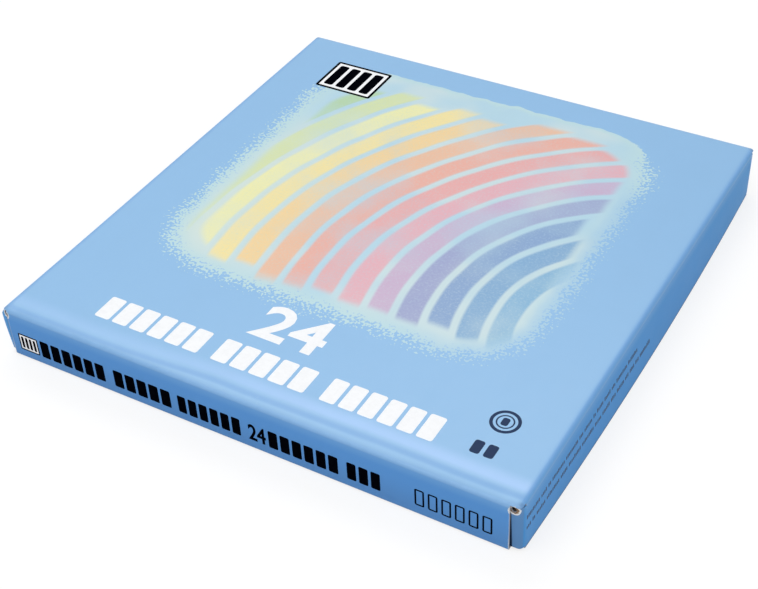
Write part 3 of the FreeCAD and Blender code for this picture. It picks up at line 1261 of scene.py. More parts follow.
@dataclass
class FoldedTray:
    """A tray folded from one blank, drawn with its panel down on z = 0 and its walls up.

    The walls along X are rolled back over themselves with a pocket between. The walls along Y
    are single, and send a tab round each corner into that pocket. Lengths are in millimetres.
    """

    name: str
    width: float
    depth: float
    wall_height: float
    bow: float = 0.0
    sag: float = 0.0
    front_droop: float = 0.0
    board: float = 0.6
    fold_round: float = PLAN.fold_round
    roll_pocket: float = 0.8
    roll_crease: float = 0.65
    tuck_gap: float = 0.8
    strip_gap: float = 0.75
    lip_turn: float = math.radians(54)
    corner_bend: float = 2.4
    tab_length: float = 26.0
    tab_trim: float = 1.0
    tab_shown: float = 0.4
    tab_lean: float = 0.4
    lean_in: Span = (0.5, 1.8)
    lean_out: Span = (3.4, 5.0)
    flare: float = 0.0
    flare_start: float = 60.0
    flare_foot: float = 5.0
    flare_loss: float = 0.6
    droop_start: float = 6.2
    droop_run: float = 4.7
    droop_end: float = 3.0
    side_flatness: int = 6
    end_flatness: int = 8
    grid: float = 9.0
    edge_lines: tuple[float, ...] = (4.6, 6.2, 8.2, 11.0)
    fold_steps: int = 5
    roll_steps: int = 4
    lip_steps: int = 3
    turn_steps: int = 6
    wall_rows: int = 3
    side_rows: int = 6
    tab_rows: int = 4
    punch_length: float = 3.6
    punch_sides: int = 20
    tear: Span = (-0.1, 0.2)
    seed: int = 7
    corners: dict[tuple[int, int], Corner] = field(default_factory=dict)

    @property
    def half_width(self) -> float:
        """From the middle to a side wall."""
        return self.width / 2

    @property
    def half_depth(self) -> float:
        """From the middle to a rolled wall."""
        return self.depth / 2

    @property
    def side_reach(self) -> float:
        """Where the side walls start to turn the corners."""
        slip = (self.roll_pocket - self.board) / 2
        return self.half_depth - self.board - slip - self.corner_bend

    def corner(self, side: int, end: int) -> Corner:
        """What shows at the corner on a side, -1 or 1, and at an end, -1 or 1."""
        return self.corners.get((side, end), PLAN.rear)

    def wall_end(self, side: int, end: int) -> float:
        """Where a rolled wall ends, at one of its two corners."""
        return side * (self.half_width - self.corner(side, end).gap)

    def shape(self) -> Workpiece:
        """Fold the tray.

        Returns:
            The tray, with its printed faces, its inner faces and its cut edges in that order.
        """
        flat = (self.width - self.fold_round * 2, self.depth - self.fold_round * 2)
        piece = Workpiece.plate(self.name, flat, (0, 0, 0))
        with piece.shaping():
            self.score_panel(piece)
            for side in (-1, 1):
                self.roll_wall(piece, side)
                self.raise_side(piece, side)
            for side in (-1, 1):
                for end in (-1, 1):
                    self.end_lips(piece, side, end)
                    self.turn_corner(piece, side, end)
            self.face_print_out(piece)
        self.ease_shape(piece)
        self.thicken(piece)
        self.punch_holes(piece)
        return piece

    def score_panel(self, piece: Workpiece) -> None:
        """Rule the panel into a grid, with finer lines near its edges.

        Args:
            piece: The tray.
        """
        ends = {self.wall_end(side, end) for side in (-1, 1) for end in (-1, 1)}
        turns = {self.side_reach, -self.side_reach}
        for axis, half, extra in ((0, self.half_width, ends), (1, self.half_depth, turns)):
            count = int((half - self.edge_lines[-1]) / self.grid) + 1
            lines = {step * self.grid for step in range(count)}
            lines |= {half - inset for inset in self.edge_lines}
            piece.score(axis, sorted({line * sign for line in lines for sign in (-1, 1)} | extra))

    def roll_wall(self, piece: Workpiece, side: int) -> None:
        """Fold up a wall along X and roll it back over itself.

        Args:
            piece: The tray.
            side: -1 for the wall at -Y, 1 for the one at +Y.
        """
        edge = self.half_depth - self.fold_round
        roll = self.board + self.roll_pocket / 2
        low, high = self.wall_end(-1, side) - NEAR, self.wall_end(1, side) + NEAR
        piece.pick(
            Pick.EDGES,
            lambda p: abs(p.y - side * edge) < NEAR and low < p.x < high and abs(p.z) < NEAR,
        )
        quarter = side * QUARTER_TURN
        piece.turn(quarter, (0, side * edge, self.fold_round), (1, 0, 0), self.fold_steps)
        crease = self.wall_height - self.roll_crease
        piece.extrude((0, 0, crease - self.fold_round), self.wall_rows)
        centre = (0, side * (self.half_depth - self.roll_crease), crease)
        piece.turn(quarter, centre, (1, 0, 0), self.roll_steps)
        piece.extrude((0, side * (self.roll_crease - roll) * 2, 0))
        centre = (0, side * (self.half_depth - roll * 2 + self.roll_crease), crease)
        piece.turn(quarter, centre, (1, 0, 0), self.roll_steps)
        drop = crease - self.board - self.tuck_gap
        piece.extrude((0, 0, -drop), self.wall_rows)

    def raise_side(self, piece: Workpiece, side: int) -> None:
        """Fold up a single wall along Y.

        Args:
            piece: The tray.
            side: -1 for the left wall, 1 for the right one.
        """
        edge = self.half_width - self.fold_round
        run = self.side_reach + NEAR
        piece.pick(
            Pick.EDGES,
            lambda p: abs(p.x - side * edge) < NEAR and abs(p.y) < run and abs(p.z) < NEAR,
        )
        centre = (side * edge, 0, self.fold_round)
        piece.turn(-side * QUARTER_TURN, centre, (0, 1, 0), self.fold_steps)
        piece.extrude((0, 0, self.wall_height - self.tab_trim - self.fold_round), self.side_rows)
        piece.extrude((0, 0, self.tab_trim))

    def end_lips(self, piece: Workpiece, side: int, end: int) -> None:
        """Carry both folds on round the panel's corner, as a lip over the strip that turns it.

        Args:
            piece: The tray.
            side: -1 for the left wall, 1 for the right one.
            end: -1 for the corner at -Y, 1 for the one at +Y.
        """
        edge, near = self.half_width - self.fold_round, self.side_reach - NEAR
        piece.pick(
            Pick.EDGES,
            lambda p: abs(p.x - side * edge) < NEAR and p.y * end > near and abs(p.z) < NEAR,
        )
        centre = (side * edge, 0, self.fold_round)
        piece.turn(-side * self.lip_turn, centre, (0, 1, 0), self.lip_steps)
        edge, near = self.half_depth - self.fold_round, abs(self.wall_end(side, end)) - NEAR
        piece.pick(
            Pick.EDGES,
            lambda p: abs(p.y - end * edge) < NEAR and p.x * side > near and abs(p.z) < NEAR,
        )
        centre = (0, end * edge, self.fold_round)
        piece.turn(end * self.lip_turn, centre, (1, 0, 0), self.lip_steps)
        centre = Vector((side * (self.half_width - self.fold_round), end * edge, 0))
        piece.pick(
            Pick.EDGES,
            lambda p: abs(p.y - centre.y) < NEAR
            and (p.x - centre.x) * side > -NEAR
            and p.z < self.fold_round,
        )
        piece.turn(side * end * QUARTER_TURN, centre, (0, 0, 1), self.roll_steps)

    def turn_corner(self, piece: Workpiece, side: int, end: int) -> None:
        """Send a tab from a side wall round a corner into the rolled wall.

        Args:
            piece: The tray.
            side: -1 for the left wall, 1 for the right one.
            end: -1 for the corner at -Y, 1 for the one at +Y.
        """
        low, high = self.fold_round, self.wall_height - self.tab_trim
        piece.pick(
            Pick.EDGES,
            lambda p: abs(p.x - side * self.half_width) < NEAR
            and abs(p.y - end * self.side_reach) < NEAR
            and low - NEAR < p.z < high + NEAR,
        )
        centre = (side * (self.half_width - self.corner_bend), end * self.side_reach, 0)
        piece.turn(side * end * QUARTER_TURN, centre, (0, 0, 1), self.turn_steps)
        gap_left = self.half_width - self.corner_bend - abs(self.wall_end(side, end))
        shown = max(gap_left + self.tab_shown, self.tab_shown)
        piece.extrude((-side * shown, 0, 0))
        piece.extrude((-side * self.tab_length, 0, 0), self.tab_rows)
        reach, skin = self.side_reach + NEAR, self.half_depth - NEAR * 5
        inner = self.half_width - self.corner_bend - shown - NEAR
        piece.pick(
            Pick.EDGES,
            lambda p: abs(p.z - low) < NEAR and p.x * side > inner and reach < p.y * end < skin,
        )
        piece.extrude((0, 0, self.board + self.strip_gap - low))

    def face_print_out(self, piece: Workpiece) -> None:
        """Merge the seams and turn the printed face out.

        Args:
            piece: The tray.
        """
        piece.face_outward()
        mesh = bmesh.from_edit_mesh(piece.obj.data)
        panel = min(mesh.faces, key=lambda f: f.calc_center_median().length)
        if panel.normal.z > 0:
            bpy.ops.mesh.flip_normals()

    def ease_shape(self, piece: Workpiece) -> None:
        """Belly out the side walls, lean the tabs in, let the panel sag and droop its front fold.

        Args:
            piece: The tray.
        """
        if self.bow:
            for side in (-1, 1):
                piece.press("X", side * self.bow, lambda p: self.bow_share(p, side))
        for end in (-1, 1):
            piece.press("Y", -end * self.tab_lean, lambda p: self.tab_share(p) if p.y * end > 0 else 0.0)
        if self.flare:
            piece.press("X", -self.flare, self.flare_share)
        if self.sag:
            piece.press("Z", self.sag, self.panel_sag)
        if self.front_droop:
            piece.press("Z", self.front_droop, self.droop)

    def bow_share(self, p: Vector, side: int) -> float:
        """How far out a side wall stands at a point: most at the middle of its free edge.

        Args:
            p: The point.
            side: -1 for the left wall, 1 for the right one.

        Returns:
            The share, 0 but on that wall.
        """
        if abs(p.x - side * self.half_width) > NEAR or abs(p.y) > self.side_reach:
            return 0.0
        along = 1 - (p.y / self.side_reach) ** 2
        return along * max(p.z - self.fold_round, 0) / (self.wall_height - self.fold_round)

    def tab_share(self, p: Vector) -> float:
        """How far in a corner tab leans at a point: most at its free edge, beside the wall's end.

        Args:
            p: The point.

        Returns:
            The share, 0 but on the tabs.
        """
        inset = self.half_width - abs(p.x)
        tab_face = self.half_depth - self.board - (self.roll_pocket - self.board) / 2
        if p.z < self.fold_round or not self.side_reach < abs(p.y) < tab_face + NEAR:
            return 0.0
        (start, run), (fade_start, fade_run) = self.lean_in, self.lean_out
        across = eased((inset - start) / run) * (1 - eased((inset - fade_start) / fade_run))
        return across * p.z / self.wall_height

    def flare_share(self, p: Vector) -> float:
        """How far out the left side wall stands at a point: most near its front end, by the fold.

        Args:
            p: The point.

        Returns:
            The share, 0 but on that wall's front part.
        """
        outer = eased((-p.x - self.half_width + self.corner_bend) / self.corner_bend)
        skin = self.half_depth - PLAN.strip_back + NEAR
        if not 0 < outer or not self.flare_start < p.y < skin or p.z < NEAR:
            return 0.0
        along = eased((p.y - self.flare_start) / (self.side_reach - self.flare_start))
        down = 1 - self.flare_loss * (p.z / self.wall_height) ** 2
        return outer * along * (eased(p.z / self.flare_foot) * down)

    def panel_sag(self, p: Vector) -> float:
        """How much of the sag a point has: most at the panel's middle.

        Args:
            p: The point.

        Returns:
            The share, 0 but on the panel.
        """
        if p.z > NEAR:
            return 0.0
        across = 1 - (abs(p.x) / self.half_width) ** self.side_flatness
        along = 1 - (abs(p.y) / self.half_depth) ** self.end_flatness
        return max(across, 0) * max(along, 0)

    def droop(self, p: Vector) -> float:
        """How much of the front droop a point has. The tray lies face down, so its front is +Y.

        Args:
            p: The point.

        Returns:
            The share, 0 but near the front fold.
        """
        if p.z > self.fold_round + NEAR or p.y < 0:
            return 0.0
        end = self.wall_end(1 if p.x > 0 else -1, 1)
        short_of_end = eased((abs(end) - abs(p.x)) / self.droop_end)
        along = eased((p.y - self.half_depth + self.droop_start) / self.droop_run)
        return along * (1 - p.z / self.fold_round) * short_of_end

    def thicken(self, piece: Workpiece) -> None:
        """Give the board its thickness, with its inner faces and cut edges told apart.

        Args:
            piece: The tray.
        """
        self.number_skins(piece)
        piece.finish_with(
            "SOLIDIFY",
            thickness=self.board * MM,
            offset=-1,
            use_even_offset=True,
            material_offset=Skin.INSIDE.value,
            material_offset_rim=Skin.EDGE.value,
        )

    @staticmethod
    def number_skins(piece: Workpiece) -> None:
        """Leave room for a material for the outside, the inside and the cut edges."""
        for _ in (Skin.OUTSIDE, Skin.INSIDE, Skin.EDGE):
            piece.obj.data.materials.append(None)

    def punch_holes(self, piece: Workpiece) -> None:
        """Punch the small, slightly torn holes through the strips that turn the corners.

        Args:
            piece: The tray.
        """
        luck = random.Random(self.seed)
        for side in (-1, 1):
            for end in (-1, 1):
                punch = self.punch(side, end, luck)
                piece.finish_with("BOOLEAN", object=punch.obj, operation="DIFFERENCE", solver="EXACT")
                bpy.data.objects.remove(punch.obj)

    def punch(self, side: int, end: int, luck: random.Random) -> Workpiece:
        """The body that a corner's hole leaves behind.

        Args:
            side: -1 for the left wall, 1 for the right one.
            end: -1 for the corner at -Y, 1 for the one at +Y.
            luck: Where the tears come from.

        Returns:
            A drum along Y, with its rim pulled about. Its faces are raw edge.
        """
        corner = self.corner(side, end)
        middle = Vector((
            side * (self.half_width - corner.hole_in),
            end * (self.half_depth - self.board / 2),
            PLAN.hole_down,
        ))
        piece = Workpiece.drum("punch", corner.hole_radius, self.punch_length, middle, self.punch_sides)
        with piece.shaping():
            bpy.ops.mesh.select_all(action="SELECT")
            bpy.ops.transform.rotate(
                value=QUARTER_TURN, orient_axis="X", center_override=middle * MM
            )
        for vertex in piece.obj.data.vertices:
            away = vertex.co - middle * MM
            pull = luck.uniform(*self.tear)
            vertex.co.x += away.x * pull
            vertex.co.z += away.z * pull
        self.number_skins(piece)
        for face in piece.obj.data.polygons:
            face.material_index = Skin.EDGE.value
        return piece


@dataclass
class Lid:
    """The printed lid: a tray turned over."""

    finishes: Finishes
    bow: float = 1.9
    sag: float = 0.25
    front_droop: float = 0.4
    flare: float = 3.0

    def tray(self) -> FoldedTray:
        """Plan the tray that is turned over. It lies face down, so its front is +Y.

        Returns:
            The tray's plan.
        """
        return FoldedTray(
            "lid_board",
            PLAN.width,
            PLAN.depth,
            PLAN.height - PLAN.table_gap,
            bow=self.bow,
            sag=self.sag,
            front_droop=self.front_droop,
            flare=self.flare,
            corners={
                (-1, 1): PLAN.front_left,
                (1, 1): PLAN.front_right,
                (-1, -1): PLAN.rear_left,
                (1, -1): PLAN.rear_right,
            },
        )

    def build(self) -> Workpiece:
        """Fold the lid, turn it over and fit it.

        Returns:
            The lid.
        """
        lid = self.tray().shape()
        with lid.shaping():
            bpy.ops.mesh.select_all(action="SELECT")
            bpy.ops.transform.rotate(
                value=HALF_TURN, orient_axis="X", center_override=(0, 0, PLAN.height / 2 * MM)
            )
        lid.smooth(BOARD_CREASE)
        inks = self.finishes
        lid.dress(inks.printed, inks.inside, inks.raw_edge, inks.printed_wall)
        for face in lid.obj.data.polygons:
            face.material_index = self.skin(face).value
        return lid.fit("lid", "printed_board", "lid")

    @staticmethod
    def skin(face: bpy.types.MeshPolygon) -> Skin:
        """What a face shows once the lid is turned over.

        Args:
            face: The face.

        Returns:
            Its skin. The walls have a print of their own, and the strips' upper ends are printed.
        """
        skin = Skin(face.material_index)
        if skin is Skin.OUTSIDE and face.center.z < PLAN.fold_level * MM:
            return Skin.WALL
        strip_top = face.normal.z > 0.5 and face.center.z > (PLAN.height - PLAN.strip_top) * MM
        if skin is Skin.EDGE and strip_top:
            return Skin.OUTSIDE
        return skin


@dataclass
class BaseTray:
    """The plain tray that the lid slides over."""

    finishes: Finishes
    width: float = 192.8
    depth: float = 200.0
    height: float = 19.2
    seed: int = 19

    def build(self) -> Workpiece:
        """Fold the tray and fit it.

        Returns:
            The tray.
        """
        sizes = (self.width, self.depth, self.height)
        piece = FoldedTray("base_board", *sizes, seed=self.seed).shape()
        piece.smooth(BOARD_CREASE)
        piece.dress(self.finishes.plain, self.finishes.inside, self.finishes.raw_edge)
        return piece.fit("tray", "plain_board", "base_tray")


# ---- foam ----


@dataclass
class FoamPlan:
    """The plan of the foam and where the sticks lie in it, in millimetres."""

    half_width: float = 95.3
    half_depth: float = 97.5
    corner: float = 2.0
    stick_side: float = 8.3
    stick_length: float = 67.0
    stick_base: float = 8.0
    stick_inner_end: float = 17.7
    first_stick: float = -82.5
    pitch: float = 15.0
    row_count: int = 12
    half_slot: float = 4.45
    slot_end: float = 85.0
    half_channel: float = 26.0

    @property
    def columns(self) -> list[float]:
        """Where the sticks of a row lie across."""
        return [self.first_stick + self.pitch * step for step in range(self.row_count)]


@dataclass
class FoamBed:
    """The slotted foam that the sticks lie in, on a plain foam backing."""

    finishes: Finishes
    plan: FoamPlan
    backing_base: float = 0.8
    slot_floor: float = 7.8
    top: float = 15.4
    edge_round: float = 0.55
    sway: float = 0.25
    sway_depth: float = 1.5
    ripples: Span = (17.0, 23.0)
    layer: float = 0.4
    grid: float = 8.0

    def sheet(self, name: str, level: float) -> Workpiece:
        """A flat sheet of the bed's outline, with rounded corners.

        Args:
            name: The piece's name.
            level: The height of its upper face.

        Returns:
            The sheet.
        """
        plan = self.plan
        piece = Workpiece.plate(name, (plan.half_width * 2, plan.half_depth * 2), (0, 0, level))
        with piece.shaping():
            piece.pick_all(Pick.VERTS)
            bpy.ops.mesh.bevel(offset=plan.corner * MM, segments=4, affect="VERTICES")
        return piece

    def rule(self, piece: Workpiece) -> None:
        """Rule a sheet into a grid, so that it can bend.

        Args:
            piece: The sheet.
        """
        for axis, half in ((0, self.plan.half_width), (1, self.plan.half_depth)):
            count = int(half / self.grid)
            piece.score(axis, [step * self.grid for step in range(-count, count + 1)])

    def soften(self, piece: Workpiece, thickness: float) -> Workpiece:
        """Give a foam sheet its thickness and its round edges.

        Args:
            piece: The flat sheet.
            thickness: Its thickness.

        Returns:
            The foam.
        """
        piece.finish_with("SOLIDIFY", thickness=thickness * MM, offset=-1, use_even_offset=True)
        piece.finish_with(
            "BEVEL",
            width=self.edge_round * MM,
            segments=3,
            limit_method="ANGLE",
            angle_limit=math.radians(SOFT_CREASE),
        )
        return piece

    @staticmethod
    def pad(piece: Workpiece, foam: bpy.types.Material) -> Workpiece:
        """Shade and dress a foam piece.

        Args:
            piece: The foam.
            foam: Its material.

        Returns:
            The foam.
        """
        piece.smooth(SOFT_CREASE).dress(foam)
        return piece

    def backing(self) -> Workpiece:
        """The plain layer under the sticks.

        Returns:
            The layer.
        """
        piece = self.sheet("bed_backing_foam", self.slot_floor)
        with piece.shaping():
            self.rule(piece)
        self.soften(piece, self.slot_floor - self.backing_base)
        self.pad(piece, self.finishes.bed)
        return piece.fit("bed", "bed_foam", "bed_backing")

    def slots(self) -> Workpiece:
        """The layer with the finger channel and a slot for each stick.

        Returns:
            The layer.
        """
        plan = self.plan
        piece = self.sheet("bed_slot_foam", self.top)
        sides = [column + side * plan.half_slot for column in plan.columns for side in (-1, 1)]
        last = plan.columns[-1] + plan.half_slot

        def open_place(p: Vector) -> bool:
            """Whether a place is cut out of the sheet.

            Args:
                p: The place.

            Returns:
                True in the channel and in a slot.
            """
            if abs(p.x) > last or abs(p.y) > plan.slot_end:
                return False
            if abs(p.y) < plan.half_channel:
                return True
            return any(abs(p.x - column) < plan.half_slot for column in plan.columns)

        with piece.shaping():
            piece.score(0, sides)
            piece.score(1, [-plan.slot_end, -plan.half_channel, plan.half_channel, plan.slot_end])
            count = int(plan.slot_end / self.grid) + 1
            piece.score(1, [step * self.grid for step in range(-count, count + 1)])
            piece.pick(Pick.FACES, open_place)
            bpy.ops.mesh.delete(type="FACE")
        self.soften(piece, self.top - self.slot_floor)
        piece.press("Z", -self.sway, self.lean)
        self.pad(piece, self.finishes.bed)
        return piece.fit("bed", "bed_foam", "bed_slots")

    def lean(self, p: Vector) -> float:
        """How far the foam's upper face has settled at a place.

        Args:
            p: The place.

        Returns:
            The share, 0 below the upper edges.
        """
        if p.z < self.top - self.sway_depth:
            return 0.0
        return rippled(p, self.ripples, self.layer)

    def build(self) -> None:
        """Build both layers."""
        self.backing()
        self.slots()


@dataclass
class CoverSheet:
    """The thin foam sheet over the sticks."""

    finishes: Finishes
    plan: FoamPlan
    top: float = 18.7
    thickness: float = 2.2
    edge_round: float = 0.45
    sway: float = 0.5
    ripples: Span = (31.0, 42.0)
    layer: float = 2.7
    grid: float = 6.0

    def wave(self, p: Vector) -> float:
        """How far the sheet dips at a place, in slow ripples."""
        return rippled(p, self.ripples, self.layer)

    def build(self) -> Workpiece:
        """Cut the sheet, let it ripple and fit it.

        Returns:
            The sheet.
        """
        bed = FoamBed(self.finishes, self.plan, edge_round=self.edge_round, grid=self.grid)
        piece = bed.sheet("cover_foam_sheet", self.top)
        with piece.shaping():
            bed.rule(piece)
        bed.soften(piece, self.thickness)
        piece.press("Z", -self.sway, self.wave)
        bed.pad(piece, self.finishes.cover)
        return piece.fit("cover", "cover_foam", "cover_sheet")


# ---- sticks ----


class Pigment(Enum):
    """The sticks' colours, in the order they lie in: the front row, then the rear row."""

    WHITE = (0.93, 0.92, 0.88)
    LEMON = (0.96, 0.88, 0.30)
    YELLOW = (0.95, 0.74, 0.12)
    ORANGE = (0.91, 0.47, 0.12)
    VERMILION = (0.84, 0.25, 0.14)
    CARMINE = (0.72, 0.10, 0.20)
    ROSE = (0.85, 0.42, 0.52)
    PALE_PINK = (0.93, 0.72, 0.70)
    FLESH = (0.92, 0.75, 0.58)
    OCHRE = (0.72, 0.50, 0.20)
    SIENNA = (0.55, 0.27, 0.13)
    UMBER = (0.27, 0.17, 0.12)
    YELLOW_GREEN = (0.62, 0.74, 0.26)
    LEAF_GREEN = (0.24, 0.55, 0.25)
    DEEP_GREEN = (0.08, 0.34, 0.24)
    TURQUOISE = (0.15, 0.60, 0.58)
    SKY_BLUE = (0.42, 0.68, 0.85)
    COBALT = (0.13, 0.33, 0.70)
    ULTRAMARINE = (0.12, 0.14, 0.48)
    VIOLET = (0.38, 0.22, 0.55)
    LILAC = (0.68, 0.58, 0.80)
    LIGHT_GREY = (0.68, 0.68, 0.68)
    DARK_GREY = (0.32, 0.32, 0.33)
    BLACK = (0.05, 0.05, 0.05)


@dataclass
class Sticks:
    """The two rows of square pastel sticks."""

    plan: FoamPlan
    edge_round: float = 0.5
    unevenness: float = 0.12
    grain: float = 9.0
    chip_depth: float = 0.7
    chip_reach: float = 1.7
    chips: int = 9
    end_chips: int = 4
    chip_inset: float = 4.0
    core_inset: float = 3.0
    slices: float = 2.4
    first_slice: float = 1.2
    face_line: float = 2.0
    seed: int = 31

    def pattern(self) -> Workpiece:
        """Model one stick: soft edges, an uneven pressed skin and a few chipped edges.

        Returns:
            The stick, in the first place of the front row.
        """
        plan = self.plan
        half = plan.stick_side / 2
        low = (plan.first_stick - half, -plan.stick_inner_end - plan.stick_length, plan.stick_base)
        high = (plan.first_stick + half, -plan.stick_inner_end, plan.stick_base + plan.stick_side)
        piece = Workpiece.block("stick_pattern", low, high)
        with piece.shaping():
            piece.pick_all(Pick.EDGES)
            bpy.ops.mesh.bevel(offset=self.edge_round * MM, segments=2, affect="EDGES")
            count = int(plan.stick_length / self.slices)
            piece.score(1, [low[1] + self.first_slice + self.slices * step for step in range(count)])
            for axis, middle in ((2, plan.stick_base + half), (0, plan.first_stick)):
                piece.score(axis, [middle + self.face_line * step for step in (-1, 0, 1)])
        piece.press("X", self.unevenness, lambda p: 0.5 + 0.5 * noise.noise(p / self.grain))
        self.chip(piece, Vector(low), Vector(high))
        return piece

    def chip(self, piece: Workpiece, low: Vector, high: Vector) -> None:
        """Knock small chips off the edges, towards the stick's core.

        Args:
            piece: The stick.
            low: Its lowest corner.
            high: Its highest corner.
        """
        luck = random.Random(self.seed)
        inset = self.chip_inset
        for step in range(self.chips):
            x, z = luck.choice((low.x, high.x)), luck.choice((low.z, high.z))
            at_end = step < self.end_chips
            y = luck.choice((low.y, high.y)) if at_end else luck.uniform(low.y + inset, high.y - inset)
            spot = Vector((x, y, z))
            level = min(max(y, low.y + self.core_inset), high.y - self.core_inset)
            core = Vector(((low.x + high.x) / 2, level, (low.z + high.z) / 2))
            inward = (core - spot).normalized()
            deep = self.chip_depth * luck.uniform(0.5, 1.0)
            for vertex in piece.obj.data.vertices:
                near = 1 - (vertex.co / MM - spot).length / self.chip_reach
                if near > 0:
                    vertex.co += inward * deep * near * MM

    def build(self) -> None:
        """Copy the stick into every slot, each in its own colour."""
        plan = self.plan
        pattern = self.pattern()
        pattern.smooth(SOFT_CREASE)
        row_step = plan.stick_length + plan.stick_inner_end * 2
        for number, pigment in enumerate(Pigment, start=1):
            row, column = divmod(number - 1, plan.row_count)
            place = (column * plan.pitch, row * row_step, 0)
            stick = pattern.copy(f"stick_{number:02d}_chalk", place)
            colour = pigment.name.lower()
            stick.dress(PastelChalk(colour, pigment.value).material())
            stick.fit(f"stick_{number:02d}", f"pastel_{colour}", f"stick_{number:02d}")
        bpy.data.objects.remove(pattern.obj)


# ---- print on the lid ----


class Face(Enum):
    """A face of the lid that is printed."""

    TOP = "top"
    FRONT = "front"
    RIGHT = "right"


class Row(NamedTuple):
    """A row of upright bars standing in the place of a word: from, to, and how many."""

    start: float
    end: float
    bars: int


class Band(NamedTuple):
    """What rows of bars share: their lower and upper ends, the gaps between bars and their corners."""

    low: float
    high: float
    gap: float
    corner: float


class Figures(NamedTuple):
    """Where the count stands: its size, its lower left corner and how bold it is."""

    size: Span
    at: Span
    weight: float


class Plaque(NamedTuple):
    """A framed plaque: its middle, its size and how wide its frame is."""

    at: Span
    size: Span
    line: float


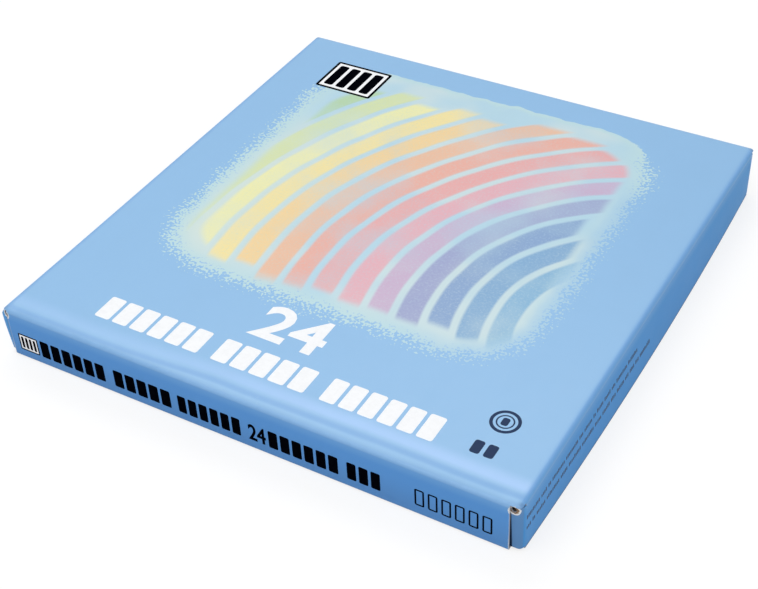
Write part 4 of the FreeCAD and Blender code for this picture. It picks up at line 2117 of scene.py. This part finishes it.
@dataclass
class LidPrint:
    """The solid inks on the lid: rows of plain upright bars, a plain count and small plain marks.

    Places are measured in millimetres from a face's left end and from its lower edge. A
    plaque's corners, margin and gaps are in widths of its frame's line.
    """

    finishes: Finishes
    lid: Workpiece
    film: float = 0.05
    proud: float = 0.02
    stand_off: float = 1.0
    side_stand_off: float = 4.0
    text: str = "24"
    top_figures: Figures = Figures((25.8, 16.9), (82.0, 27.9), 0.6)
    front_figures: Figures = Figures((6.6, 7.0), (99.6, 3.9), 0.18)
    top_plaque: Plaque = Plaque((32.9, 180.5), (25.4, 20.0), 1.1)
    front_plaque: Plaque = Plaque((9.2, 7.3), (8.4, 7.2), 0.5)
    plaque_bars: int = 4
    corner_lines: float = 0.8
    margin_lines: float = 4.4
    gap_lines: float = 1.3
    title: tuple[Row, ...] = (Row(30.6, 72.5, 6), Row(77.9, 113.4, 5), Row(119.2, 159.3, 6))
    title_band: Band = Band(11.9, 22.8, 1.3, 0.8)
    words: tuple[Row, ...] = (
        Row(14.5, 41.9, 6),
        Row(45.9, 69.1, 5),
        Row(72.1, 96.5, 6),
        Row(107.2, 132.8, 6),
        Row(136.0, 147.8, 3),
    )
    word_band: Band = Band(3.7, 11.0, 1.0, 0.5)
    open_bar: Span = (3.3, 7.0)
    open_start: Span = (159.7, 7.6)
    open_gap: float = 1.25
    open_line: float = 0.6
    open_bars: int = 6
    ring_at: Span = (175.3, 29.8)
    rings: tuple[Span, ...] = ((5.0, 1.1), (3.0, 0.5))
    ring_sides: int = 40
    dot: Span = (2.4, 3.4)
    short_bar: Span = (3.3, 5.6)
    short_bars_at: tuple[Span, ...] = ((172.4, 16.5), (177.0, 16.5))
    mark_corner: float = 0.8
    tick_levels: tuple[Span, ...] = ((12.7, 85.0), (8.3, 97.0))
    tick_start: float = 4.0
    tick_width: float = 0.62
    tick_pitch: float = 0.98
    tick_space: float = 0.9
    tick_corner: float = 0.12
    tick_height: Span = (1.2, 1.7)
    tick_group: tuple[int, int] = (2, 9)
    seed: int = 11

    def bar(self, size: Sequence[float], at: Sequence[float], corner: float) -> Workpiece:
        """A flat bar with rounded corners.

        Args:
            size: Its width and height.
            at: Its middle.
            corner: The radius of its corners.

        Returns:
            The bar, lying on z = 0.
        """
        piece = Workpiece.plate("bar", size, (at[0], at[1], 0))
        with piece.shaping():
            piece.pick_all(Pick.VERTS)
            bpy.ops.mesh.bevel(offset=corner * MM, segments=3, affect="VERTICES")
        return piece

    @staticmethod
    def hollow(piece: Workpiece, line: float) -> Workpiece:
        """Leave only the outline of a flat shape.

        Args:
            piece: The shape.
            line: How wide the outline is.

        Returns:
            The outline.
        """
        with piece.shaping():
            piece.pick_all(Pick.FACES)
            bpy.ops.mesh.inset(thickness=line * MM)
            bpy.ops.mesh.delete(type="FACE")
        return piece

    def ring(self, radius: float, width: float, at: Sequence[float]) -> Workpiece:
        """A flat ring.

        Args:
            radius: Its outer radius.
            width: How wide the line is.
            at: Its middle.

        Returns:
            The ring, lying on z = 0.
        """
        disc = Workpiece.disc("ring", radius, (at[0], at[1], 0), self.ring_sides)
        return self.hollow(disc, width)

    def frame(self, size: Sequence[float], at: Sequence[float], corner: float, line: float) -> Workpiece:
        """A bar drawn in outline, by its size, its middle, its corners' radius and its line."""
        return self.hollow(self.bar(size, at, corner), line)

    def rows(self, rows: Sequence[Row], band: Band) -> list[Workpiece]:
        """Rows of equal upright bars.

        Args:
            rows: Where each row starts and ends, and how many bars it has.
            band: What the rows share.

        Returns:
            The bars.
        """
        bars = []
        for row in rows:
            width = (row.end - row.start - band.gap * (row.bars - 1)) / row.bars
            middle = (row.start + width / 2, (band.low + band.high) / 2)
            first = self.bar((width, band.high - band.low), middle, band.corner)
            step = width + band.gap
            bars += [first] + [first.copy("bar", (step * count, 0, 0)) for count in range(1, row.bars)]
        return bars

    def count(self, figures: Figures) -> Workpiece:
        """Plain upright figures, set out from the plain face by their weight.

        Args:
            figures: Where they stand.

        Returns:
            The figures, lying on z = 0.
        """
        size, at, weight = figures
        Workpiece.lay_down_tools()
        bpy.ops.object.text_add()
        obj = bpy.context.object
        obj.data.body = self.text
        obj.data.resolution_u = 4
        bpy.ops.object.convert(target="MESH")
        piece = Workpiece(obj)
        co = [vertex.co for vertex in obj.data.vertices]
        low = Vector((min(c.x for c in co), min(c.y for c in co), 0))
        high = Vector((max(c.x for c in co), max(c.y for c in co), 0))
        stretch = [(size[axis] - 2 * weight) * MM / (high[axis] - low[axis]) for axis in (0, 1)]
        obj.data.transform(Matrix.Translation(-low))
        obj.data.transform(Matrix.Diagonal((*stretch, 1, 1)))
        obj.data.transform(Matrix.Translation(Vector((at[0] + weight, at[1] + weight, 0)) * MM))
        with piece.shaping():
            piece.pick_all(Pick.VERTS)
            bpy.ops.mesh.remove_doubles(threshold=weight / 2 * MM)
            bpy.ops.mesh.select_mode(type="EDGE")
            bpy.ops.mesh.select_all(action="DESELECT")
            bpy.ops.mesh.select_non_manifold()
            piece.extrude((0, 0, -1))
            bpy.ops.transform.shrink_fatten(value=weight * MM, use_even_offset=True)
            bpy.ops.transform.resize(value=(1, 1, 0), center_override=(0, 0, 0))
            for axis in (0, 1):
                reach = size[axis] / 6
                piece.score(axis, [at[axis] + reach * step for step in range(1, 6)])
        return piece

    def lay(
        self, name: str, face: Face, parts: list[Workpiece], ink: bpy.types.Material, coat: int = 1
    ) -> Workpiece:
        """Lay flat shapes on a face of the lid as a thin film of ink.

        Args:
            name: The piece's name.
            face: The face of the lid.
            parts: The shapes, drawn on z = 0 from the face's left end and lower edge.
            ink: The ink.
            coat: 1 on the board, 2 on another ink.

        Returns:
            The print.
        """
        piece = parts[0].join(parts[1:])
        piece.obj.name = piece.obj.data.name = name
        turn = Matrix.Identity(4)
        start = Vector((-PLAN.half_width, -PLAN.half_depth, PLAN.height + self.stand_off))
        if face is not Face.TOP:
            turn = Matrix.Rotation(QUARTER_TURN, 4, "X")
            start = Vector((-PLAN.half_width, -PLAN.half_depth - self.stand_off, 0))
        if face is Face.RIGHT:
            turn = Matrix.Rotation(QUARTER_TURN, 4, "Z") @ turn
            start = Vector((PLAN.half_width + self.side_stand_off, -PLAN.half_depth, 0))
        piece.obj.data.transform(turn)
        piece.obj.data.transform(Matrix.Translation(start * MM))
        piece.finish_with(
            "SHRINKWRAP",
            target=self.lid.obj,
            wrap_method="NEAREST_SURFACEPOINT",
            wrap_mode="ABOVE_SURFACE",
            offset=self.proud * coat * MM,
        )
        piece.finish_with("SOLIDIFY", thickness=self.film * MM, offset=-1)
        piece.dress(ink)
        return piece.fit("lid", "printed_board")

    def build(self) -> None:
        """Print every face."""
        inks = self.finishes
        self.lay("print_title_bars", Face.TOP, self.rows(self.title, self.title_band), inks.white_ink)
        self.lay("print_count", Face.TOP, [self.count(self.top_figures)], inks.white_ink)
        self.lay("print_front_bars", Face.FRONT, self.rows(self.words, self.word_band), inks.black_ink)
        self.lay("print_front_count", Face.FRONT, [self.count(self.front_figures)], inks.black_ink)
        self.open_row()
        self.plaque("print_top_plaque", Face.TOP, self.top_plaque)
        self.plaque("print_front_plaque", Face.FRONT, self.front_plaque)
        self.small_marks()
        self.fine_rules()

    def open_row(self) -> None:
        """A row of bars in outline at the front's right end."""
        width, (left, level) = self.open_bar[0], self.open_start
        bars = [
            self.frame(
                self.open_bar,
                (left + width / 2 + (width + self.open_gap) * step, level),
                self.open_line,
                self.open_line,
            )
            for step in range(self.open_bars)
        ]
        self.lay("print_front_open_bars", Face.FRONT, bars, self.finishes.black_ink)

    def small_marks(self) -> None:
        """Two rings round a dot, over two short bars, at the top's near right corner."""
        marks = [self.ring(radius, line, self.ring_at) for radius, line in self.rings]
        marks.append(self.bar(self.dot, self.ring_at, self.mark_corner))
        marks += [self.bar(self.short_bar, at, self.mark_corner) for at in self.short_bars_at]
        self.lay("print_top_marks", Face.TOP, marks, self.finishes.navy_ink)

    def plaque(self, name: str, face: Face, plaque: Plaque) -> None:
        """A plain framed plaque: white, with an upright row of black bars.

        Args:
            name: The start of the pieces' names.
            face: The face of the lid.
            plaque: Its place and sizes.
        """
        at, size, line = plaque
        corner, gap, margin = line * self.corner_lines, line * self.gap_lines, line * self.margin_lines
        self.lay(f"{name}_ground", face, [self.bar(size, at, corner)], self.finishes.white_ink)
        width, height = (length - margin for length in size)
        left, low = at[0] - width / 2, at[1] - height / 2
        row = Row(left, left + width, self.plaque_bars)
        bars = self.rows([row], Band(low, low + height, gap, corner))
        bars.append(self.frame(size, at, corner, line))
        self.lay(f"{name}_bars", face, bars, self.finishes.black_ink, 2)

    def fine_rules(self) -> None:
        """Two fine lines of small ticks on the right wall, in groups of uneven length."""
        luck = random.Random(self.seed)
        middle = sum(self.tick_height) / 2
        ticks = []
        for level, end in self.tick_levels:
            place = self.tick_start
            while place < end:
                for _ in range(luck.randint(*self.tick_group)):
                    height = luck.uniform(*self.tick_height)
                    at = (place, level + (height - middle) / 2)
                    ticks.append(self.bar((self.tick_width, height), at, self.tick_corner))
                    place += self.tick_pitch
                place += self.tick_space
        self.lay("print_side_ticks", Face.RIGHT, ticks, self.finishes.navy_ink)


# ---- stage ----


class Lamp(NamedTuple):
    """A soft lamp over the box: where it hangs and its size, in metres, and its power in watts."""

    name: str
    at: tuple[float, float, float]
    size: Span
    power: float


@dataclass
class Studio:
    """The floor, the soft lamps and the camera."""

    azimuth: float = 31.60
    elevation: float = 39.685
    roll: float = -2.904
    distance: float = 518.3
    target: tuple[float, float, float] = (0.85, -17.22, 0.0)
    lens: float = 68.42
    sensor: float = 36.0
    near_clip: float = 0.01
    ambient: float = 0.4
    floor_glow: float = 1.08
    floor_share: float = 0.7
    floor_size: float = 6.0
    floor_drop: float = 0.0002
    lamps: tuple[Lamp, ...] = (
        Lamp("lamp_overhead", (-0.1, -0.42, 1.0), (1.0, 1.0), 5.0),
        Lamp("lamp_window", (-0.5, 0.62, 1.1), (1.0, 0.4), 4.4),
        Lamp("lamp_corner", (1.1, -0.62, 0.75), (0.8, 0.8), 2.6),
    )

    def floor(self) -> None:
        """Lay a pale floor that keeps the shadow."""
        Workpiece.lay_down_tools()
        bpy.ops.mesh.primitive_plane_add(size=self.floor_size, location=(0, 0, -self.floor_drop))
        floor = bpy.context.object
        floor.name = "studio_floor"
        shop = PaintShop("floor_paper")
        shop.finish(shop.grey(shop.noise(90.0, 2.0).scale(0.93, 0.95)), 0.9, 0.1)
        glow = shop.node("ShaderNodeEmission")
        glow.inputs["Color"].default_value = (1, 1, 1, 1)
        glow.inputs["Strength"].default_value = self.floor_glow
        mix = shop.node("ShaderNodeMixShader")
        shop.feed(mix.inputs[0], self.seen(shop) * self.floor_share)
        shop.feed(mix.inputs[1], shop.shader.outputs[0])
        shop.feed(mix.inputs[2], glow.outputs[0])
        output = next(n for n in shop.tree.nodes if n.type == "OUTPUT_MATERIAL")
        shop.feed(output.inputs["Surface"], mix.outputs[0])
        floor.data.materials.append(shop.material)

    @staticmethod
    def seen(table: NodeTable) -> Grade:
        """1 for rays that show the backdrop, straight, in gloss or through glass.

        Args:
            table: The node tree in hand.

        Returns:
            1 for those rays and 0 for the rest.
        """
        path = table.node("ShaderNodeLightPath")
        kinds = ("Is Camera Ray", "Is Glossy Ray", "Is Transmission Ray")
        camera, glossy, through = (Grade(table, path.outputs[kind]) for kind in kinds)
        return camera.most(glossy).most(through)

    def sky(self) -> None:
        """Light everything evenly from all round, against white."""
        world = bpy.data.worlds.new("studio_sky")
        bpy.context.scene.world = world
        world.use_nodes = True
        table = NodeTable(world.node_tree)
        background = table.tree.nodes["Background"]
        background.inputs["Color"].default_value = (1, 1, 1, 1)
        table.feed(background.inputs["Strength"], self.seen(table).scale(self.ambient, 1.0))

    @staticmethod
    def hang(lamp: Lamp) -> None:
        """Hang a soft lamp that points at the frame's origin.

        Args:
            lamp: The lamp.
        """
        Workpiece.lay_down_tools()
        facing = Vector(lamp.at).to_track_quat("Z", "Y").to_euler()
        bpy.ops.object.light_add(type="AREA", location=lamp.at, rotation=facing)
        light = bpy.context.object
        light.name = lamp.name
        light.data.shape = "RECTANGLE"
        light.data.size, light.data.size_y = lamp.size
        light.data.energy = lamp.power

    def camera(self) -> None:
        """Set the camera by its bearing from the target and its roll about the view."""
        around, up = math.radians(self.azimuth), math.radians(self.elevation)
        back = Vector((math.sin(around) * math.cos(up), -math.cos(around) * math.cos(up), math.sin(up)))
        right = Vector((0, 0, 1)).cross(back).normalized()
        over = back.cross(right)
        tilt = math.radians(self.roll)
        across = right * math.cos(tilt) + over * math.sin(tilt)
        upright = over * math.cos(tilt) - right * math.sin(tilt)
        turn = Matrix((across, upright, back)).transposed()
        Workpiece.lay_down_tools()
        location = (Vector(self.target) + back * self.distance) * MM
        bpy.ops.object.camera_add(location=location, rotation=turn.to_euler())
        camera = bpy.context.object
        camera.name = "studio_camera"
        camera.data.lens = self.lens
        camera.data.sensor_width = self.sensor
        camera.data.clip_start = self.near_clip
        bpy.context.scene.camera = camera

    def build(self) -> None:
        """Set the stage."""
        self.floor()
        self.sky()
        for lamp in self.lamps:
            self.hang(lamp)
        self.camera()
        bpy.context.scene.view_settings.view_transform = "Standard"


def main() -> None:
    """Build the box piece by piece, and the studio round it."""
    logging.basicConfig(level=logging.INFO, format="%(name)s: %(message)s")
    finishes = Finishes()
    lid = Lid(finishes).build()
    LidPrint(finishes, lid).build()
    BaseTray(finishes).build()
    plan = FoamPlan()
    FoamBed(finishes, plan).build()
    CoverSheet(finishes, plan).build()
    Sticks(plan).build()
    Studio().build()


if __name__ == "__main__":
    main()
